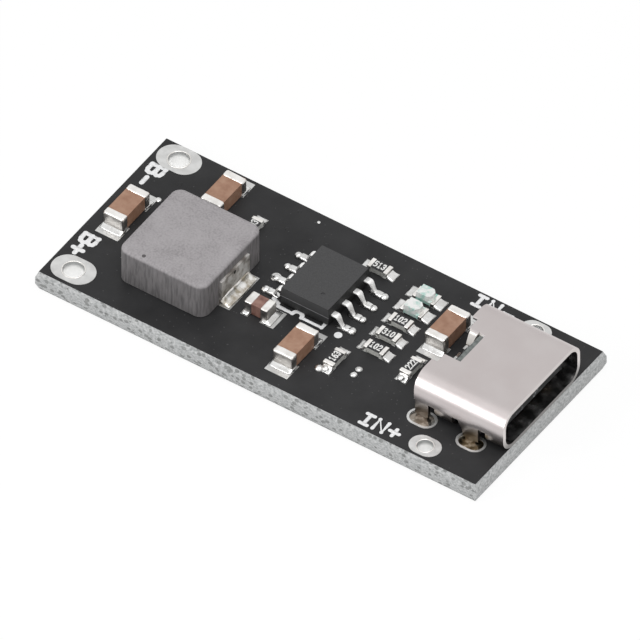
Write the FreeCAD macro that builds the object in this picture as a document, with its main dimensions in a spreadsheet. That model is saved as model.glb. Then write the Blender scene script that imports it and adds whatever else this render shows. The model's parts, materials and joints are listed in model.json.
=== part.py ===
import FreeCAD, Part
import math
import os
from types import SimpleNamespace

import Sketcher
from FreeCAD import Placement, Rotation, Vector

# Lithium battery charger module: a small two-sided circuit board with a charge-only
# USB-C receptacle at one end and the two battery wire pads at the other.
# Frame: X along the board, battery end at -X and receptacle at +X, Y across it,
# Z up out of the component side. The origin is the middle of the board's underside.

document = FreeCAD.newDocument("charger_module")
sheet = document.addObject("Spreadsheet::Sheet", "Sizes")

# Driving dimensions, in millimetres (angles in degrees).
DIMENSIONS = (
    ("board_length", 35.1, "board along X, over the snapped webs"),
    ("board_width", 15.2, "board along Y, over the snapped webs"),
    ("board_thickness", 1.6, "laminate with its masks"),
    ("score_inset", 0.19, "how far the scored groove cuts into each face"),
    ("score_depth", 0.5, "depth of the scored groove down each edge"),
    ("land_thickness", 0.04, "tinned copper land"),
    ("plating_wall", 0.09, "copper and solder on the wall of a wire hole"),
    ("battery_hole_radius", 0.73, "bore for a battery wire"),
    ("battery_land_radius", 1.15, "round end of a battery land"),
    ("battery_land_straight", 0.88, "straight part of a battery land"),
    ("battery_end_inset", 2.0, "battery wire holes from the board's end"),
    ("battery_minus_inset", 1.38, "negative battery hole from the board's side"),
    ("battery_plus_inset", 1.55, "positive battery hole from the board's side"),
    ("input_hole_radius", 0.55, "bore for an input wire"),
    ("input_land_radius", 0.86, "round end of an input land"),
    ("input_land_straight", 0.57, "straight part of an input land"),
    ("input_end_inset", 4.87, "input wire holes from the board's end"),
    ("input_side_inset", 1.2, "input wire holes from the board's sides"),
    ("fit_gap", 0.02, "clearance of a piece pressed or moulded into another"),
    ("solder_hollow", 0.32, "bend of a solder fillet's face, as a share of its reach and rise"),
    ("inductor_x", -9.31, "middle of the inductor"),
    ("inductor_y", -1.58, "middle of the inductor"),
    ("inductor_length", 6.88, "moulded block along X"),
    ("inductor_width", 7.05, "moulded block along Y"),
    ("inductor_height", 2.85, "moulded block"),
    ("inductor_corner", 0.75, "upright corners of the block"),
    ("inductor_top_round", 0.32, "round of the block's upper rim"),
    ("clip_width", 3.25, "terminal clip along Y"),
    ("clip_height", 2.0, "terminal clip above its land"),
    ("clip_thickness", 0.25, "terminal clip strip"),
    ("clip_proud", 0.17, "clip face outside the block's side"),
    ("clip_foot", 1.5, "clip foot under the block"),
    ("clip_bend", 0.22, "outer bend radius of the clip"),
    ("winding_outer", 2.45, "outer radius of the buried winding"),
    ("winding_inner", 1.2, "inner radius of the buried winding"),
    ("winding_height", 1.3, "height of the buried winding"),
    ("winding_lift", 0.85, "winding above the block's underside"),
    ("winding_tail_width", 1.2, "flat wire tail from winding to clip"),
    ("inductor_land_reach", 0.7, "land beyond the clip's face"),
    ("inductor_land_inner", 1.6, "land under the block"),
    ("inductor_land_width", 3.55, "land along Y"),
    ("inductor_solder_height", 0.45, "solder up the clip's face"),
    ("ic_x", -0.65, "middle of the charger chip"),
    ("ic_y", 1.45, "middle of the charger chip"),
    ("ic_length", 4.9, "package along Y at its parting line"),
    ("ic_width", 3.9, "package along X at its parting line"),
    ("ic_base", 0.07, "package above the lands"),
    ("ic_lower", 0.78, "moulding below the parting line"),
    ("ic_upper", 0.66, "moulding above the parting line"),
    ("ic_draft", 8.0, "draft of both halves, degrees"),
    ("ic_dimple_radius", 0.15, "ejector dimple by the first pin"),
    ("ic_dimple_depth", 0.04, "depth of the dimple"),
    ("ic_dimple_x", 0.74, "dimple from the package's middle"),
    ("ic_dimple_y", -1.35, "dimple from the package's middle"),
    ("lead_pitch", 1.27, "leads along Y"),
    ("lead_width", 0.42, "one lead"),
    ("lead_thickness", 0.2, "lead frame strip"),
    ("lead_shoulder", 0.34, "level stretch outside the package"),
    ("lead_toe", 2.95, "toe of the foot from the middle line"),
    ("lead_foot", 0.55, "flat length of the foot"),
    ("lead_round", 0.16, "outer bend radius of a lead"),
    ("ic_land_inner", 2.2, "inner end of a lead's land from the middle line"),
    ("ic_land_outer", 3.62, "outer end of a lead's land"),
    ("ic_land_width", 0.6, "land along Y"),
    ("ic_solder_height", 0.18, "solder up a lead's toe"),
    ("thermal_pad_length", 3.1, "metal pad under the chip along Y"),
    ("thermal_pad_width", 2.2, "metal pad under the chip along X"),
    ("capacitor_length", 3.2, "large ceramic capacitor"),
    ("capacitor_width", 1.6, "large ceramic capacitor"),
    ("capacitor_height", 1.2, "large ceramic capacitor"),
    ("capacitor_band", 0.5, "metal band at each end"),
    ("capacitor_bevel", 0.08, "bevelled edges of the band"),
    ("capacitor_land_reach", 0.78, "land beyond the part's end"),
    ("capacitor_land_under", 0.65, "land under the part"),
    ("capacitor_land_width", 1.8, "land across the part"),
    ("capacitor_solder_height", 0.5, "solder up the end"),
    ("bypass_length", 1.85, "small ceramic capacitor"),
    ("bypass_width", 1.15, "small ceramic capacitor"),
    ("bypass_height", 1.02, "small ceramic capacitor"),
    ("bypass_band", 0.5, "metal band at each end"),
    ("bypass_bevel", 0.08, "bevelled edges of the band"),
    ("bypass_land_reach", 0.64, "land beyond the part's end"),
    ("bypass_back_reach", 0.1, "land beyond the part's other end"),
    ("bypass_land_under", 0.45, "land under the part"),
    ("bypass_land_width", 1.65, "land across the part"),
    ("bypass_solder_height", 0.4, "solder up the end"),
    ("ceramic_wall", 0.05, "metal over the ceramic at the ends"),
    ("resistor_length", 1.6, "chip resistor"),
    ("resistor_width", 0.82, "chip resistor"),
    ("resistor_height", 0.45, "ceramic with its end metal"),
    ("resistor_band", 0.3, "metal band at each end"),
    ("resistor_wall", 0.025, "metal over the ceramic"),
    ("resistor_glaze", 0.03, "dark glaze over the resistive film"),
    ("resistor_land_reach", 0.5, "land beyond the part's end"),
    ("resistor_land_under", 0.35, "land under the part"),
    ("resistor_land_width", 0.86, "land across the part"),
    ("resistor_solder_height", 0.26, "solder up the end"),
    ("lamp_length", 1.7, "indicator lamp"),
    ("lamp_width", 1.0, "indicator lamp"),
    ("lamp_base_height", 0.32, "base board of the lamp"),
    ("lamp_band", 0.25, "metal band at each end"),
    ("lamp_lens_length", 1.18, "clear block on the base"),
    ("lamp_lens_width", 0.96, "clear block on the base"),
    ("lamp_lens_height", 0.42, "clear block on the base"),
    ("lamp_lens_bevel", 0.26, "cut corners at the lens's marked end"),
    ("lamp_lens_draft", 6.0, "draft of the lens, degrees"),
    ("lamp_land_reach", 0.56, "land beyond the part's end"),
    ("lamp_land_under", 0.35, "land under the part"),
    ("lamp_land_width", 1.0, "land across the part"),
    ("lamp_solder_height", 0.24, "solder up the end"),
    ("test_land_radius", 0.24, "one round test land"),
    ("test_land_x", 5.1, "pair of test lands"),
    ("test_land_y", -3.33, "middle of the pair"),
    ("test_land_pitch", 0.6, "the pair along Y"),
    ("usb_setback", 0.15, "receptacle's front rim behind the board's end"),
    ("usb_length", 7.1, "shell along X"),
    ("usb_width", 8.94, "shell across"),
    ("usb_height", 3.26, "shell from the board up"),
    ("usb_wall", 0.3, "sheet of the shell"),
    ("usb_corner", 1.2, "outer bend radius of the shell"),
    ("usb_shift", 0.25, "receptacle off the board's middle line, inside the play of its slots"),
    ("usb_rear_slot", 0.78, "middle of the rear leg slots from the shell's rear rim"),
    ("usb_fore_slot", 4.66, "middle of the fore leg slots from the shell's rear rim"),
    ("usb_leg_reach", 1.15, "leg below the board's top"),
    ("usb_window_inner", 3.0, "inner edge of a leg's window from the middle"),
    ("usb_window_rise", 1.25, "leg windows above the board"),
    ("usb_rear_window_end", 1.6, "rear leg's window from the shell's rear rim"),
    ("usb_fore_window_start", 3.0, "fore leg's window from the rear rim"),
    ("usb_fore_window_end", 5.65, "fore leg's window from the rear rim"),
    ("usb_rear_leg_start", 0.08, "rear leg from the rear rim"),
    ("usb_rear_leg_end", 1.12, "rear leg from the rear rim"),
    ("usb_fore_leg_start", 3.86, "fore leg from the rear rim"),
    ("usb_fore_leg_end", 5.08, "fore leg from the rear rim"),
    ("usb_leg_flare", 0.4, "widening at the top of a fore leg"),
    ("usb_tip_start", 0.14, "rear leg's narrow tip from the leg's edge"),
    ("usb_tip_width", 0.8, "narrow tip of a leg in its slot"),
    ("usb_notch_length", 1.7, "rear notch in the shell's roof"),
    ("usb_notch_near", -1.55, "near edge of the notch"),
    ("usb_notch_far", 1.4, "far edge of the notch, where the tab folds"),
    ("usb_step_length", 0.44, "roof's rear edge ahead of the sides' rear edge"),
    ("usb_step_width", 4.8, "set-back stretch of the roof's rear edge"),
    ("usb_tab_start", 0.6, "tab from the shell's rear rim"),
    ("usb_tab_end", 1.2, "tab from the shell's rear rim"),
    ("usb_tab_tip_start", 0.32, "tab's lower end from the rear rim"),
    ("usb_tab_tip_end", 0.74, "tab's lower end from the rear rim"),
    ("usb_tab_drop", 1.35, "tab below the roof"),
    ("usb_tail_window_length", 0.95, "rear opening in the shell's floor"),
    ("usb_tail_window_width", 6.6, "rear opening in the shell's floor"),
    ("usb_slot_radius", 0.6, "round ends of a leg slot"),
    ("usb_slot_straight", 0.62, "straight part of a leg slot"),
    ("usb_slot_ring", 0.17, "width of the land round a slot"),
    ("usb_slot_inset", 0.07, "middle of a leg slot inside the shell's side"),
    ("usb_plug_floor", 0.15, "lower face of a slot's solder"),
    ("usb_plug_top", 1.5, "upper face of a slot's solder"),
    ("housing_start", 1.2, "moulding from the shell's rear rim"),
    ("housing_base", 1.4, "moulding's base along X"),
    ("housing_step_start", 0.5, "low rear step of the moulding from the shell's rear rim"),
    ("housing_step_width", 6.6, "low rear step across"),
    ("housing_step_top", 1.8, "low rear step above the board"),
    ("tongue_setback", 0.6, "tongue behind the mouth"),
    ("tongue_width", 6.69, "tongue across"),
    ("tongue_thickness", 0.7, "tongue"),
    ("tongue_nose", 0.12, "bevel of the tongue's tip"),
    ("contact_width", 0.45, "one contact"),
    ("contact_thickness", 0.15, "contact strip"),
    ("contact_proud", 0.02, "contact above the tongue's face"),
    ("contact_tip", 0.45, "contact behind the tongue's tip"),
    ("contact_drop", 0.7, "contacts turn down this far ahead of the shell's rear rim"),
    ("contact_heel", 0.35, "end of a contact's foot behind the rear rim"),
    ("contact_inner_y", 0.5, "contacts from the middle line"),
    ("contact_middle_y", 1.5, "contacts from the middle line"),
    ("contact_outer_y", 2.75, "contacts from the middle line"),
    ("mid_plate_thickness", 0.15, "steel plate inside the tongue"),
    ("mid_plate_setback", 0.3, "plate behind the tongue's tip"),
    ("mid_plate_length", 5.0, "plate along X"),
    ("tail_land_reach", 0.3, "land beyond a contact's foot"),
    ("tail_land_length", 1.15, "land along X"),
    ("tail_land_width", 0.7, "land along Y"),
    ("tail_solder_height", 0.13, "solder up a contact's foot"),
    ("capacitor_1_x", -15.53, "large capacitor by the battery end"),
    ("capacitor_1_y", 0.1, ""),
    ("capacitor_2_x", -11.0, "large capacitor behind the inductor"),
    ("capacitor_2_y", 4.75, ""),
    ("capacitor_3_x", 0.82, "large capacitor in front of the chip"),
    ("capacitor_3_y", -4.1, ""),
    ("capacitor_4_x", 8.16, "large capacitor behind the receptacle"),
    ("capacitor_4_y", 2.85, ""),
    ("bypass_x", -3.22, "small capacitor between inductor and chip"),
    ("bypass_y", -2.34, ""),
    ("resistor_1_x", 5.06, "upper resistor of the column"),
    ("resistor_1_y", 1.91, ""),
    ("resistor_2_x", 5.1, "middle resistor of the column"),
    ("resistor_2_y", 0.45, ""),
    ("resistor_3_x", 5.11, "lower resistor of the column"),
    ("resistor_3_y", -1.03, ""),
    ("resistor_4_x", 1.12, "resistor at the chip's far corner"),
    ("resistor_4_y", 5.24, ""),
    ("resistor_5_x", 7.95, "resistor by the receptacle"),
    ("resistor_5_y", -1.13, ""),
    ("resistor_6_x", 3.36, "resistor in front of the chip"),
    ("resistor_6_y", -3.3, ""),
    ("resistor_7_x", -7.95, "resistor at the inductor's far corner"),
    ("resistor_7_y", 3.62, ""),
    ("lamp_1_x", 5.12, "far lamp"),
    ("lamp_1_y", 4.85, ""),
    ("lamp_2_x", 5.12, "near lamp"),
    ("lamp_2_y", 3.4, ""),
)


class Size:
    """A length kept both as a formula of the sheet and as its present value."""

    def __init__(self, text, value):
        self.text = text
        self.value = value

    def __add__(self, other):
        other = as_size(other)
        return Size(f"({self.text} + {other.text})", self.value + other.value)

    def __sub__(self, other):
        other = as_size(other)
        return Size(f"({self.text} - {other.text})", self.value - other.value)

    def __mul__(self, other):
        other = as_size(other)
        return Size(f"({self.text} * {other.text})", self.value * other.value)

    def __truediv__(self, other):
        other = as_size(other)
        return Size(f"({self.text} / {other.text})", self.value / other.value)

    def __neg__(self):
        return Size(f"(0 - {self.text})", -self.value)


def as_size(item):
    """Give a plain number the same form as a named size."""
    if isinstance(item, Size):
        return item
    return Size(f"({float(item)})", float(item))


def fill_sheet():
    """Write the named values into the sheet and return them by name."""
    named = {}
    for row, (name, value, note) in enumerate(DIMENSIONS, 1):
        sheet.set(f"A{row}", str(value))
        sheet.setAlias(f"A{row}", name)
        sheet.set(f"B{row}", note)
        named[name] = Size(f"Sizes.{name}", value)
    document.recompute()
    return SimpleNamespace(**named)


size = fill_sheet()
ZERO = as_size(0)
seat = size.board_thickness + size.land_thickness
# The narrow tip of a fore leg is centred under its wide part.
FORE_TIP_START = (size.usb_fore_leg_end - size.usb_fore_leg_start - size.usb_tip_width) / 2


# Small helpers

def bind(item, **formulas):
    """Tie properties of an object to the sheet."""
    for name, formula in formulas.items():
        item.setExpression(name, as_size(formula).text)


def place(item, x=ZERO, y=ZERO, z=ZERO, turn=0):
    """Put an object at a point given by formulas, turned about the upright axis."""
    point = [as_size(value) for value in (x, y, z)]
    item.Placement = Placement(Vector(*[p.value for p in point]), Rotation(Vector(0, 0, 1), turn))
    for axis, formula in zip("xyz", point):
        item.setExpression(f"Placement.Base.{axis}", formula.text)
    return item


def new_body(name):
    """Start a body that may hold several separate solids."""
    body = document.addObject("PartDesign::Body", name)
    body.AllowCompound = True
    return body


def sketch_on(body, name, plane="XY_Plane", lift=ZERO):
    """Start a sketch on one of the body's own planes, lifted along the plane's normal."""
    sketch = body.newObject("Sketcher::SketchObject", name)
    support = [feature for feature in body.Origin.OriginFeatures if feature.Role == plane][0]
    sketch.AttachmentSupport = [(support, "")]
    sketch.MapMode = "FlatFace"
    sketch.setExpression("AttachmentOffset.Base.z", as_size(lift).text)
    return sketch


def hold(sketch, geometry, point, x, y):
    """Tie a sketch point to its place by two dimensions from the origin."""
    for kind, formula in (("DistanceX", as_size(x)), ("DistanceY", as_size(y))):
        number = sketch.addConstraint(Sketcher.Constraint(kind, -1, 1, geometry, point, formula.value))
        sketch.setExpression(f"Constraints[{number}]", formula.text)


def set_radius(sketch, geometry, radius):
    """Give an arc or circle its radius."""
    number = sketch.addConstraint(Sketcher.Constraint("Radius", geometry, radius.value))
    sketch.setExpression(f"Constraints[{number}]", radius.text)


def polygon(sketch, points):
    """Close straight lines through points given as pairs of formulas."""
    first = sketch.GeometryCount
    count = len(points)
    corners = [(as_size(x), as_size(y)) for x, y in points]
    for index in range(count):
        start, end = corners[index], corners[(index + 1) % count]
        line = Part.LineSegment(
            Vector(start[0].value, start[1].value, 0), Vector(end[0].value, end[1].value, 0))
        sketch.addGeometry(line, False)
    for index in range(count):
        following = first + (index + 1) % count
        sketch.addConstraint(Sketcher.Constraint("Coincident", first + index, 2, following, 1))
        hold(sketch, first + index, 1, *corners[index])


def rectangle(sketch, x_low, x_high, y_low, y_high):
    """Draw a rectangle between four formulas."""
    polygon(sketch, [(x_low, y_low), (x_high, y_low), (x_high, y_high), (x_low, y_high)])


def centred_rectangle(sketch, length, width, x=ZERO, y=ZERO):
    """Draw a rectangle round a middle point."""
    rectangle(sketch, x - length / 2, x + length / 2, y - width / 2, y + width / 2)


def circle(sketch, x, y, radius):
    """Draw a circle."""
    number = sketch.addGeometry(
        Part.Circle(Vector(x.value, y.value, 0), Vector(0, 0, 1), radius.value), False)
    hold(sketch, number, 3, x, y)
    set_radius(sketch, number, radius)


def obround(sketch, x, y, straight, radius):
    """Draw two half circles joined by level straight lines."""
    half = straight / 2
    first = sketch.GeometryCount
    upright = Vector(0, 0, 1)
    right = Part.Circle(Vector((x + half).value, y.value, 0), upright, radius.value)
    left = Part.Circle(Vector((x - half).value, y.value, 0), upright, radius.value)
    quarter = math.pi / 2
    sketch.addGeometry(Part.ArcOfCircle(right, -quarter, quarter), False)
    sketch.addGeometry(Part.ArcOfCircle(left, quarter, 3 * quarter), False)
    for side in (1, -1):
        start = Vector((x + half * side).value, y.value + side * radius.value, 0)
        end = Vector((x - half * side).value, y.value + side * radius.value, 0)
        sketch.addGeometry(Part.LineSegment(start, end), False)
    right_arc, left_arc, top_line, bottom_line = range(first, first + 4)
    for line, point, arc, arc_point in (
            (top_line, 1, right_arc, 2), (top_line, 2, left_arc, 1),
            (bottom_line, 1, left_arc, 2), (bottom_line, 2, right_arc, 1)):
        sketch.addConstraint(Sketcher.Constraint("Tangent", line, point, arc, arc_point))
    hold(sketch, right_arc, 3, x + half, y)
    hold(sketch, left_arc, 3, x - half, y)
    set_radius(sketch, right_arc, radius)


def round_rectangle(sketch, x, y, width, height, radius):
    """Draw a rectangle with quarter-circle corners round a middle point."""
    across, up = width / 2 - radius, height / 2 - radius
    first = sketch.GeometryCount
    corners = [(x + across, y + up), (x - across, y + up), (x - across, y - up), (x + across, y - up)]
    quarter = math.pi / 2
    for number, (centre_x, centre_y) in enumerate(corners):
        whole = Part.Circle(Vector(centre_x.value, centre_y.value, 0), Vector(0, 0, 1), radius.value)
        sketch.addGeometry(
            Part.ArcOfCircle(whole, number * quarter, (number + 1) * quarter), False)
    arcs = [sketch.Geometry[first + number] for number in range(4)]
    for number in range(4):
        line = Part.LineSegment(arcs[number].EndPoint, arcs[(number + 1) % 4].StartPoint)
        sketch.addGeometry(line, False)
    for number, corner in enumerate(corners):
        line, following = first + 4 + number, first + (number + 1) % 4
        sketch.addConstraint(Sketcher.Constraint("Tangent", first + number, 2, line, 1))
        sketch.addConstraint(Sketcher.Constraint("Tangent", line, 2, following, 1))
        hold(sketch, first + number, 3, *corner)
    set_radius(sketch, first, radius)


def pad(body, name, sketch, length, draft=None, down=False, both_ways=False):
    """Raise a sketch into a solid."""
    feature = body.newObject("PartDesign::Pad", name)
    feature.Profile = sketch
    bind(feature, Length=length)
    feature.Reversed = down
    if both_ways:
        feature.SideType = "Symmetric"
    if draft is not None:
        bind(feature, TaperAngle=-draft)
    document.recompute()
    return feature


def pocket(body, name, sketch, depth, up=False):
    """Cut a sketch out of the body, downwards unless told otherwise."""
    before = body.Shape.Volume
    feature = body.newObject("PartDesign::Pocket", name)
    feature.Profile = sketch
    bind(feature, Length=depth)
    feature.Reversed = up
    document.recompute()
    if not body.Shape.Volume < before:
        raise ValueError(f"{name} cuts nothing")
    return feature


def edges_where(feature, test):
    """Name the edges whose every corner passes the test."""
    return [f"Edge{number}" for number, edge in enumerate(feature.Shape.Edges, 1)
            if all(test(vertex.Point) for vertex in edge.Vertexes)]


def near(value, formula):
    """Tell whether a coordinate is at a named place."""
    return abs(value - as_size(formula).value) < 1e-4


def fillet(body, name, feature, edges, radius):
    """Round chosen edges."""
    rounded = body.newObject("PartDesign::Fillet", name)
    rounded.Base = (feature, edges)
    bind(rounded, Radius=radius)
    document.recompute()
    return rounded


def chamfer(body, name, feature, edges, width):
    """Bevel chosen edges evenly."""
    bevelled = body.newObject("PartDesign::Chamfer", name)
    bevelled.Base = (feature, edges)
    bind(bevelled, Size=width)
    document.recompute()
    return bevelled


def box(name, x_low, x_high, y_low, y_high, z_low, z_high):
    """A plain block between six formulas."""
    item = document.addObject("Part::Box", name)
    bind(item, Length=as_size(x_high) - x_low, Width=as_size(y_high) - y_low,
         Height=as_size(z_high) - z_low)
    return place(item, x_low, y_low, z_low)


def centred_box(name, length, width, z_low, z_high):
    """A plain block round the upright axis."""
    return box(name, -length / 2, length / 2, -width / 2, width / 2, z_low, z_high)


def cut(name, base, tool):
    """Take one shape out of another."""
    item = document.addObject("Part::Cut", name)
    item.Base = base
    item.Tool = tool
    return item


def group(name, pieces):
    """Hold several separate solids together as one object."""
    item = document.addObject("Part::Compound", name)
    item.Links = pieces
    return item


def copy_at(name, pattern, x=ZERO, y=ZERO, z=ZERO, turn=0):
    """Repeat a pattern piece at another place."""
    return place(group(name, [pattern]), x, y, z, turn)


sub_parts = []


def finish(item, label=None):
    """Name a finished sub-part and keep it for export."""
    item.Label = label or item.Name
    sub_parts.append(item)
    return item


# Plated holes and the board

half_board = size.board_width / 2
battery_x = size.battery_end_inset - size.board_length / 2
input_x = size.board_length / 2 - size.input_end_inset
usb_mouth = size.board_length / 2 - size.usb_setback
usb_rear = usb_mouth - size.usb_length
WIRE_HOLES = (
    ("battery_minus_pad", "battery", battery_x, half_board - size.battery_minus_inset),
    ("battery_plus_pad", "battery", battery_x, size.battery_plus_inset - half_board),
    ("input_plus_pad", "input", input_x, size.input_side_inset - half_board),
    ("input_minus_pad", "input", input_x, half_board - size.input_side_inset),
)
LEG_SLOTS = [(usb_rear + ahead, (size.usb_width / 2 - size.usb_slot_inset) * side)
             for ahead in (size.usb_rear_slot, size.usb_fore_slot) for side in (-1, 1)]
WIRE_LANDS = {
    "battery": (size.battery_land_straight, size.battery_land_radius, size.battery_hole_radius),
    "input": (size.input_land_straight, size.input_land_radius, size.input_hole_radius),
}


def wire_hole_outlines(kind, x, y):
    """The land, the drilled hole and the bore of a wire hole, as drawing functions."""
    straight, land_radius, bore_radius = WIRE_LANDS[kind]
    return (lambda sketch: obround(sketch, x, y, straight, land_radius),
            lambda sketch: circle(sketch, x, y, bore_radius + size.plating_wall),
            lambda sketch: circle(sketch, x, y, bore_radius))


def leg_slots(sketch, ring=ZERO):
    """Draw the four leg slots, wider all round by a ring."""
    for x, y in LEG_SLOTS:
        obround(sketch, x, y, size.usb_slot_straight, size.usb_slot_radius + ring)


def build_slot_lands():
    """The tinned rings round the leg slots, on the board's upper face."""
    body = new_body("usb_slot_lands")
    rings = sketch_on(body, "slot_land_outlines", lift=size.board_thickness)
    leg_slots(rings)
    leg_slots(rings, size.usb_slot_ring)
    pad(body, "slot_land_rings", rings, size.land_thickness)
    return finish(body)


def eyelet(name, drawings):
    """A plated hole: a thin barrel through the board with a land on each face."""
    body = new_body(name)
    layers = (
        ("barrel", ZERO, seat, 1),
        ("lower_land", ZERO, size.land_thickness, 0),
        ("upper_land", size.board_thickness, size.land_thickness, 0),
    )
    for layer, lift, height, outline in layers:
        sketch = sketch_on(body, f"{name}_{layer}_sketch", lift=lift)
        drawings[outline](sketch)
        drawings[2](sketch)
        pad(body, f"{name}_{layer}", sketch, height)
    return finish(body)


def build_board():
    """The laminate with its scored and snapped edges and every drilled or milled hole."""
    body = new_body("printed_circuit_board")
    outline = sketch_on(body, "board_outline")
    centred_rectangle(outline, size.board_length, size.board_width)
    slab = pad(body, "board_slab", outline, size.board_thickness)
    rims = edges_where(slab, lambda p: near(p.z, 0)) + edges_where(
        slab, lambda p: near(p.z, size.board_thickness))
    scores = body.newObject("PartDesign::Chamfer", "board_scores")
    scores.Base = (slab, rims)
    scores.ChamferType = "Two distances"
    bind(scores, Size=size.score_inset, Size2=size.score_depth)
    document.recompute()
    if not near(top_face_length(scores), size.board_length - size.score_inset * 2):
        scores.FlipDirection = True
        document.recompute()
    drilled = sketch_on(body, "board_hole_outlines")
    recessed = sketch_on(body, "board_land_outlines")
    leg_slots(drilled)
    for _, kind, x, y in WIRE_HOLES:
        land, barrel, _ = wire_hole_outlines(kind, x, y)
        barrel(drilled)
        land(recessed)
    pocket(body, "board_holes", drilled, size.board_thickness, up=True)
    pocket(body, "board_land_recesses", recessed, size.land_thickness, up=True)
    return finish(body)


def top_face_length(feature):
    """Length along X of a solid's highest flat face."""
    top = max(feature.Shape.Faces, key=lambda face: face.CenterOfMass.z)
    return top.BoundBox.XLength


# Solder

def solder_wedge(name, start, reach, rise, width):
    """A hollow fillet of solder from an upright end face down to its land's far end.

    It stands on the land at the origin's height and grows along X from start.
    """
    body = new_body(name)
    profile = sketch_on(body, f"{name}_profile", "XZ_Plane")
    bend = size.solder_hollow
    polygon(profile, [
        (start, ZERO), (start + reach, ZERO), (start + reach * bend, rise * bend), (start, rise)])
    pad(body, f"{name}_bead", profile, width, both_ways=True)
    return body


def both_ends(name, pattern):
    """A piece and its copy turned to the opposite end."""
    return group(name, [pattern, copy_at(f"{name}_turned", pattern, turn=180)])


# Chip parts: a block with metal wrapped round both ends, on two lands

def chip_family(name, length, width, height, band, wall, land, rise,
                bevel=None, open_sides=False, back_reach=None):
    """Make the pattern pieces of one kind of chip part, standing on the origin.

    land holds the reach beyond the end, the length under the part and the width.
    bevel is for metal with bevelled edges. With open_sides the metal leaves the long sides bare.
    back_reach is the reach at the -X end where it differs.
    """
    if bevel is None:
        outer = centred_box(f"{name}_outer", length, width, ZERO, height)
    else:
        outer = new_body(f"{name}_outer")
        outline = sketch_on(outer, f"{name}_outer_outline")
        centred_rectangle(outline, length, width)
        block = pad(outer, f"{name}_outer_block", outline, height)
        every_edge = [f"Edge{number}" for number in range(1, len(block.Shape.Edges) + 1)]
        chamfer(outer, f"{name}_outer_bevel", block, every_edge, bevel)
    core_width = width if open_sides else width - wall * 2
    core = centred_box(f"{name}_core", length - wall * 2, core_width, wall, height - wall)
    waist = centred_box(f"{name}_waist", length - band * 2, width * 2, -height, height * 2)
    ends = cut(f"{name}_ends", cut(f"{name}_sleeve", outer, core), waist)
    reach, under, land_width = land
    lands, wedges = [], []
    for end, end_reach, turn in (("front", reach, 0), ("back", back_reach or reach, 180)):
        pattern_land = box(f"{name}_land_{end}", length / 2 - under, length / 2 + end_reach,
                           -land_width / 2, land_width / 2, -size.land_thickness, ZERO)
        wedge = solder_wedge(f"{name}_wedge_{end}", length / 2, end_reach, rise, width)
        lands.append(copy_at(f"{name}_land_{end}_placed", pattern_land, turn=turn))
        wedges.append(copy_at(f"{name}_wedge_{end}_placed", wedge, turn=turn))
    return SimpleNamespace(core=core, ends=ends, lands=group(f"{name}_lands", lands),
                           solder=group(f"{name}_solder", wedges))


capacitor = chip_family(
    "capacitor", size.capacitor_length, size.capacitor_width, size.capacitor_height,
    size.capacitor_band, size.ceramic_wall,
    (size.capacitor_land_reach, size.capacitor_land_under, size.capacitor_land_width),
    size.capacitor_solder_height, bevel=size.capacitor_bevel)
bypass = chip_family(
    "bypass", size.bypass_length, size.bypass_width, size.bypass_height,
    size.bypass_band, size.ceramic_wall,
    (size.bypass_land_reach, size.bypass_land_under, size.bypass_land_width),
    size.bypass_solder_height, bevel=size.bypass_bevel, back_reach=size.bypass_back_reach)
resistor = chip_family(
    "resistor", size.resistor_length, size.resistor_width, size.resistor_height,
    size.resistor_band, size.resistor_wall,
    (size.resistor_land_reach, size.resistor_land_under, size.resistor_land_width),
    size.resistor_solder_height, open_sides=True)
lamp = chip_family(
    "lamp", size.lamp_length, size.lamp_width, size.lamp_base_height,
    size.lamp_band, size.resistor_wall,
    (size.lamp_land_reach, size.lamp_land_under, size.lamp_land_width),
    size.lamp_solder_height)

# Each chip part: node name, its pattern, its place, and the turn of its long axis.
CHIPS = (
    ("capacitor_1", capacitor, size.capacitor_1_x, size.capacitor_1_y, 90),
    ("capacitor_2", capacitor, size.capacitor_2_x, size.capacitor_2_y, 90),
    ("capacitor_3", capacitor, size.capacitor_3_x, size.capacitor_3_y, 90),
    ("capacitor_4", capacitor, size.capacitor_4_x, size.capacitor_4_y, 90),
    ("capacitor_5", bypass, size.bypass_x, size.bypass_y, 0),
    ("resistor_1", resistor, size.resistor_1_x, size.resistor_1_y, 0),
    ("resistor_2", resistor, size.resistor_2_x, size.resistor_2_y, 0),
    ("resistor_3", resistor, size.resistor_3_x, size.resistor_3_y, 0),
    ("resistor_4", resistor, size.resistor_4_x, size.resistor_4_y, 0),
    ("resistor_5", resistor, size.resistor_5_x, size.resistor_5_y, 90),
    ("resistor_6", resistor, size.resistor_6_x, size.resistor_6_y, 90),
    ("resistor_7", resistor, size.resistor_7_x, size.resistor_7_y, 90),
    ("lamp_1", lamp, size.lamp_1_x, size.lamp_1_y, 0),
    ("lamp_2", lamp, size.lamp_2_x, size.lamp_2_y, 0),
)


def lens_pattern():
    """The clear block of a lamp, with cut corners at its marked end."""
    body = new_body("lens_pattern")
    sketch = sketch_on(body, "lens_outline", lift=size.lamp_base_height - size.resistor_wall)
    half_length, half_width = size.lamp_lens_length / 2, size.lamp_lens_width / 2
    bevel = size.lamp_lens_bevel
    polygon(sketch, [
        (-half_length, -half_width), (half_length - bevel, -half_width),
        (half_length, bevel - half_width), (half_length, half_width - bevel),
        (half_length - bevel, half_width), (-half_length, half_width)])
    pad(body, "lens_block", sketch, size.lamp_lens_height, draft=size.lamp_lens_draft)
    return body


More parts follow.
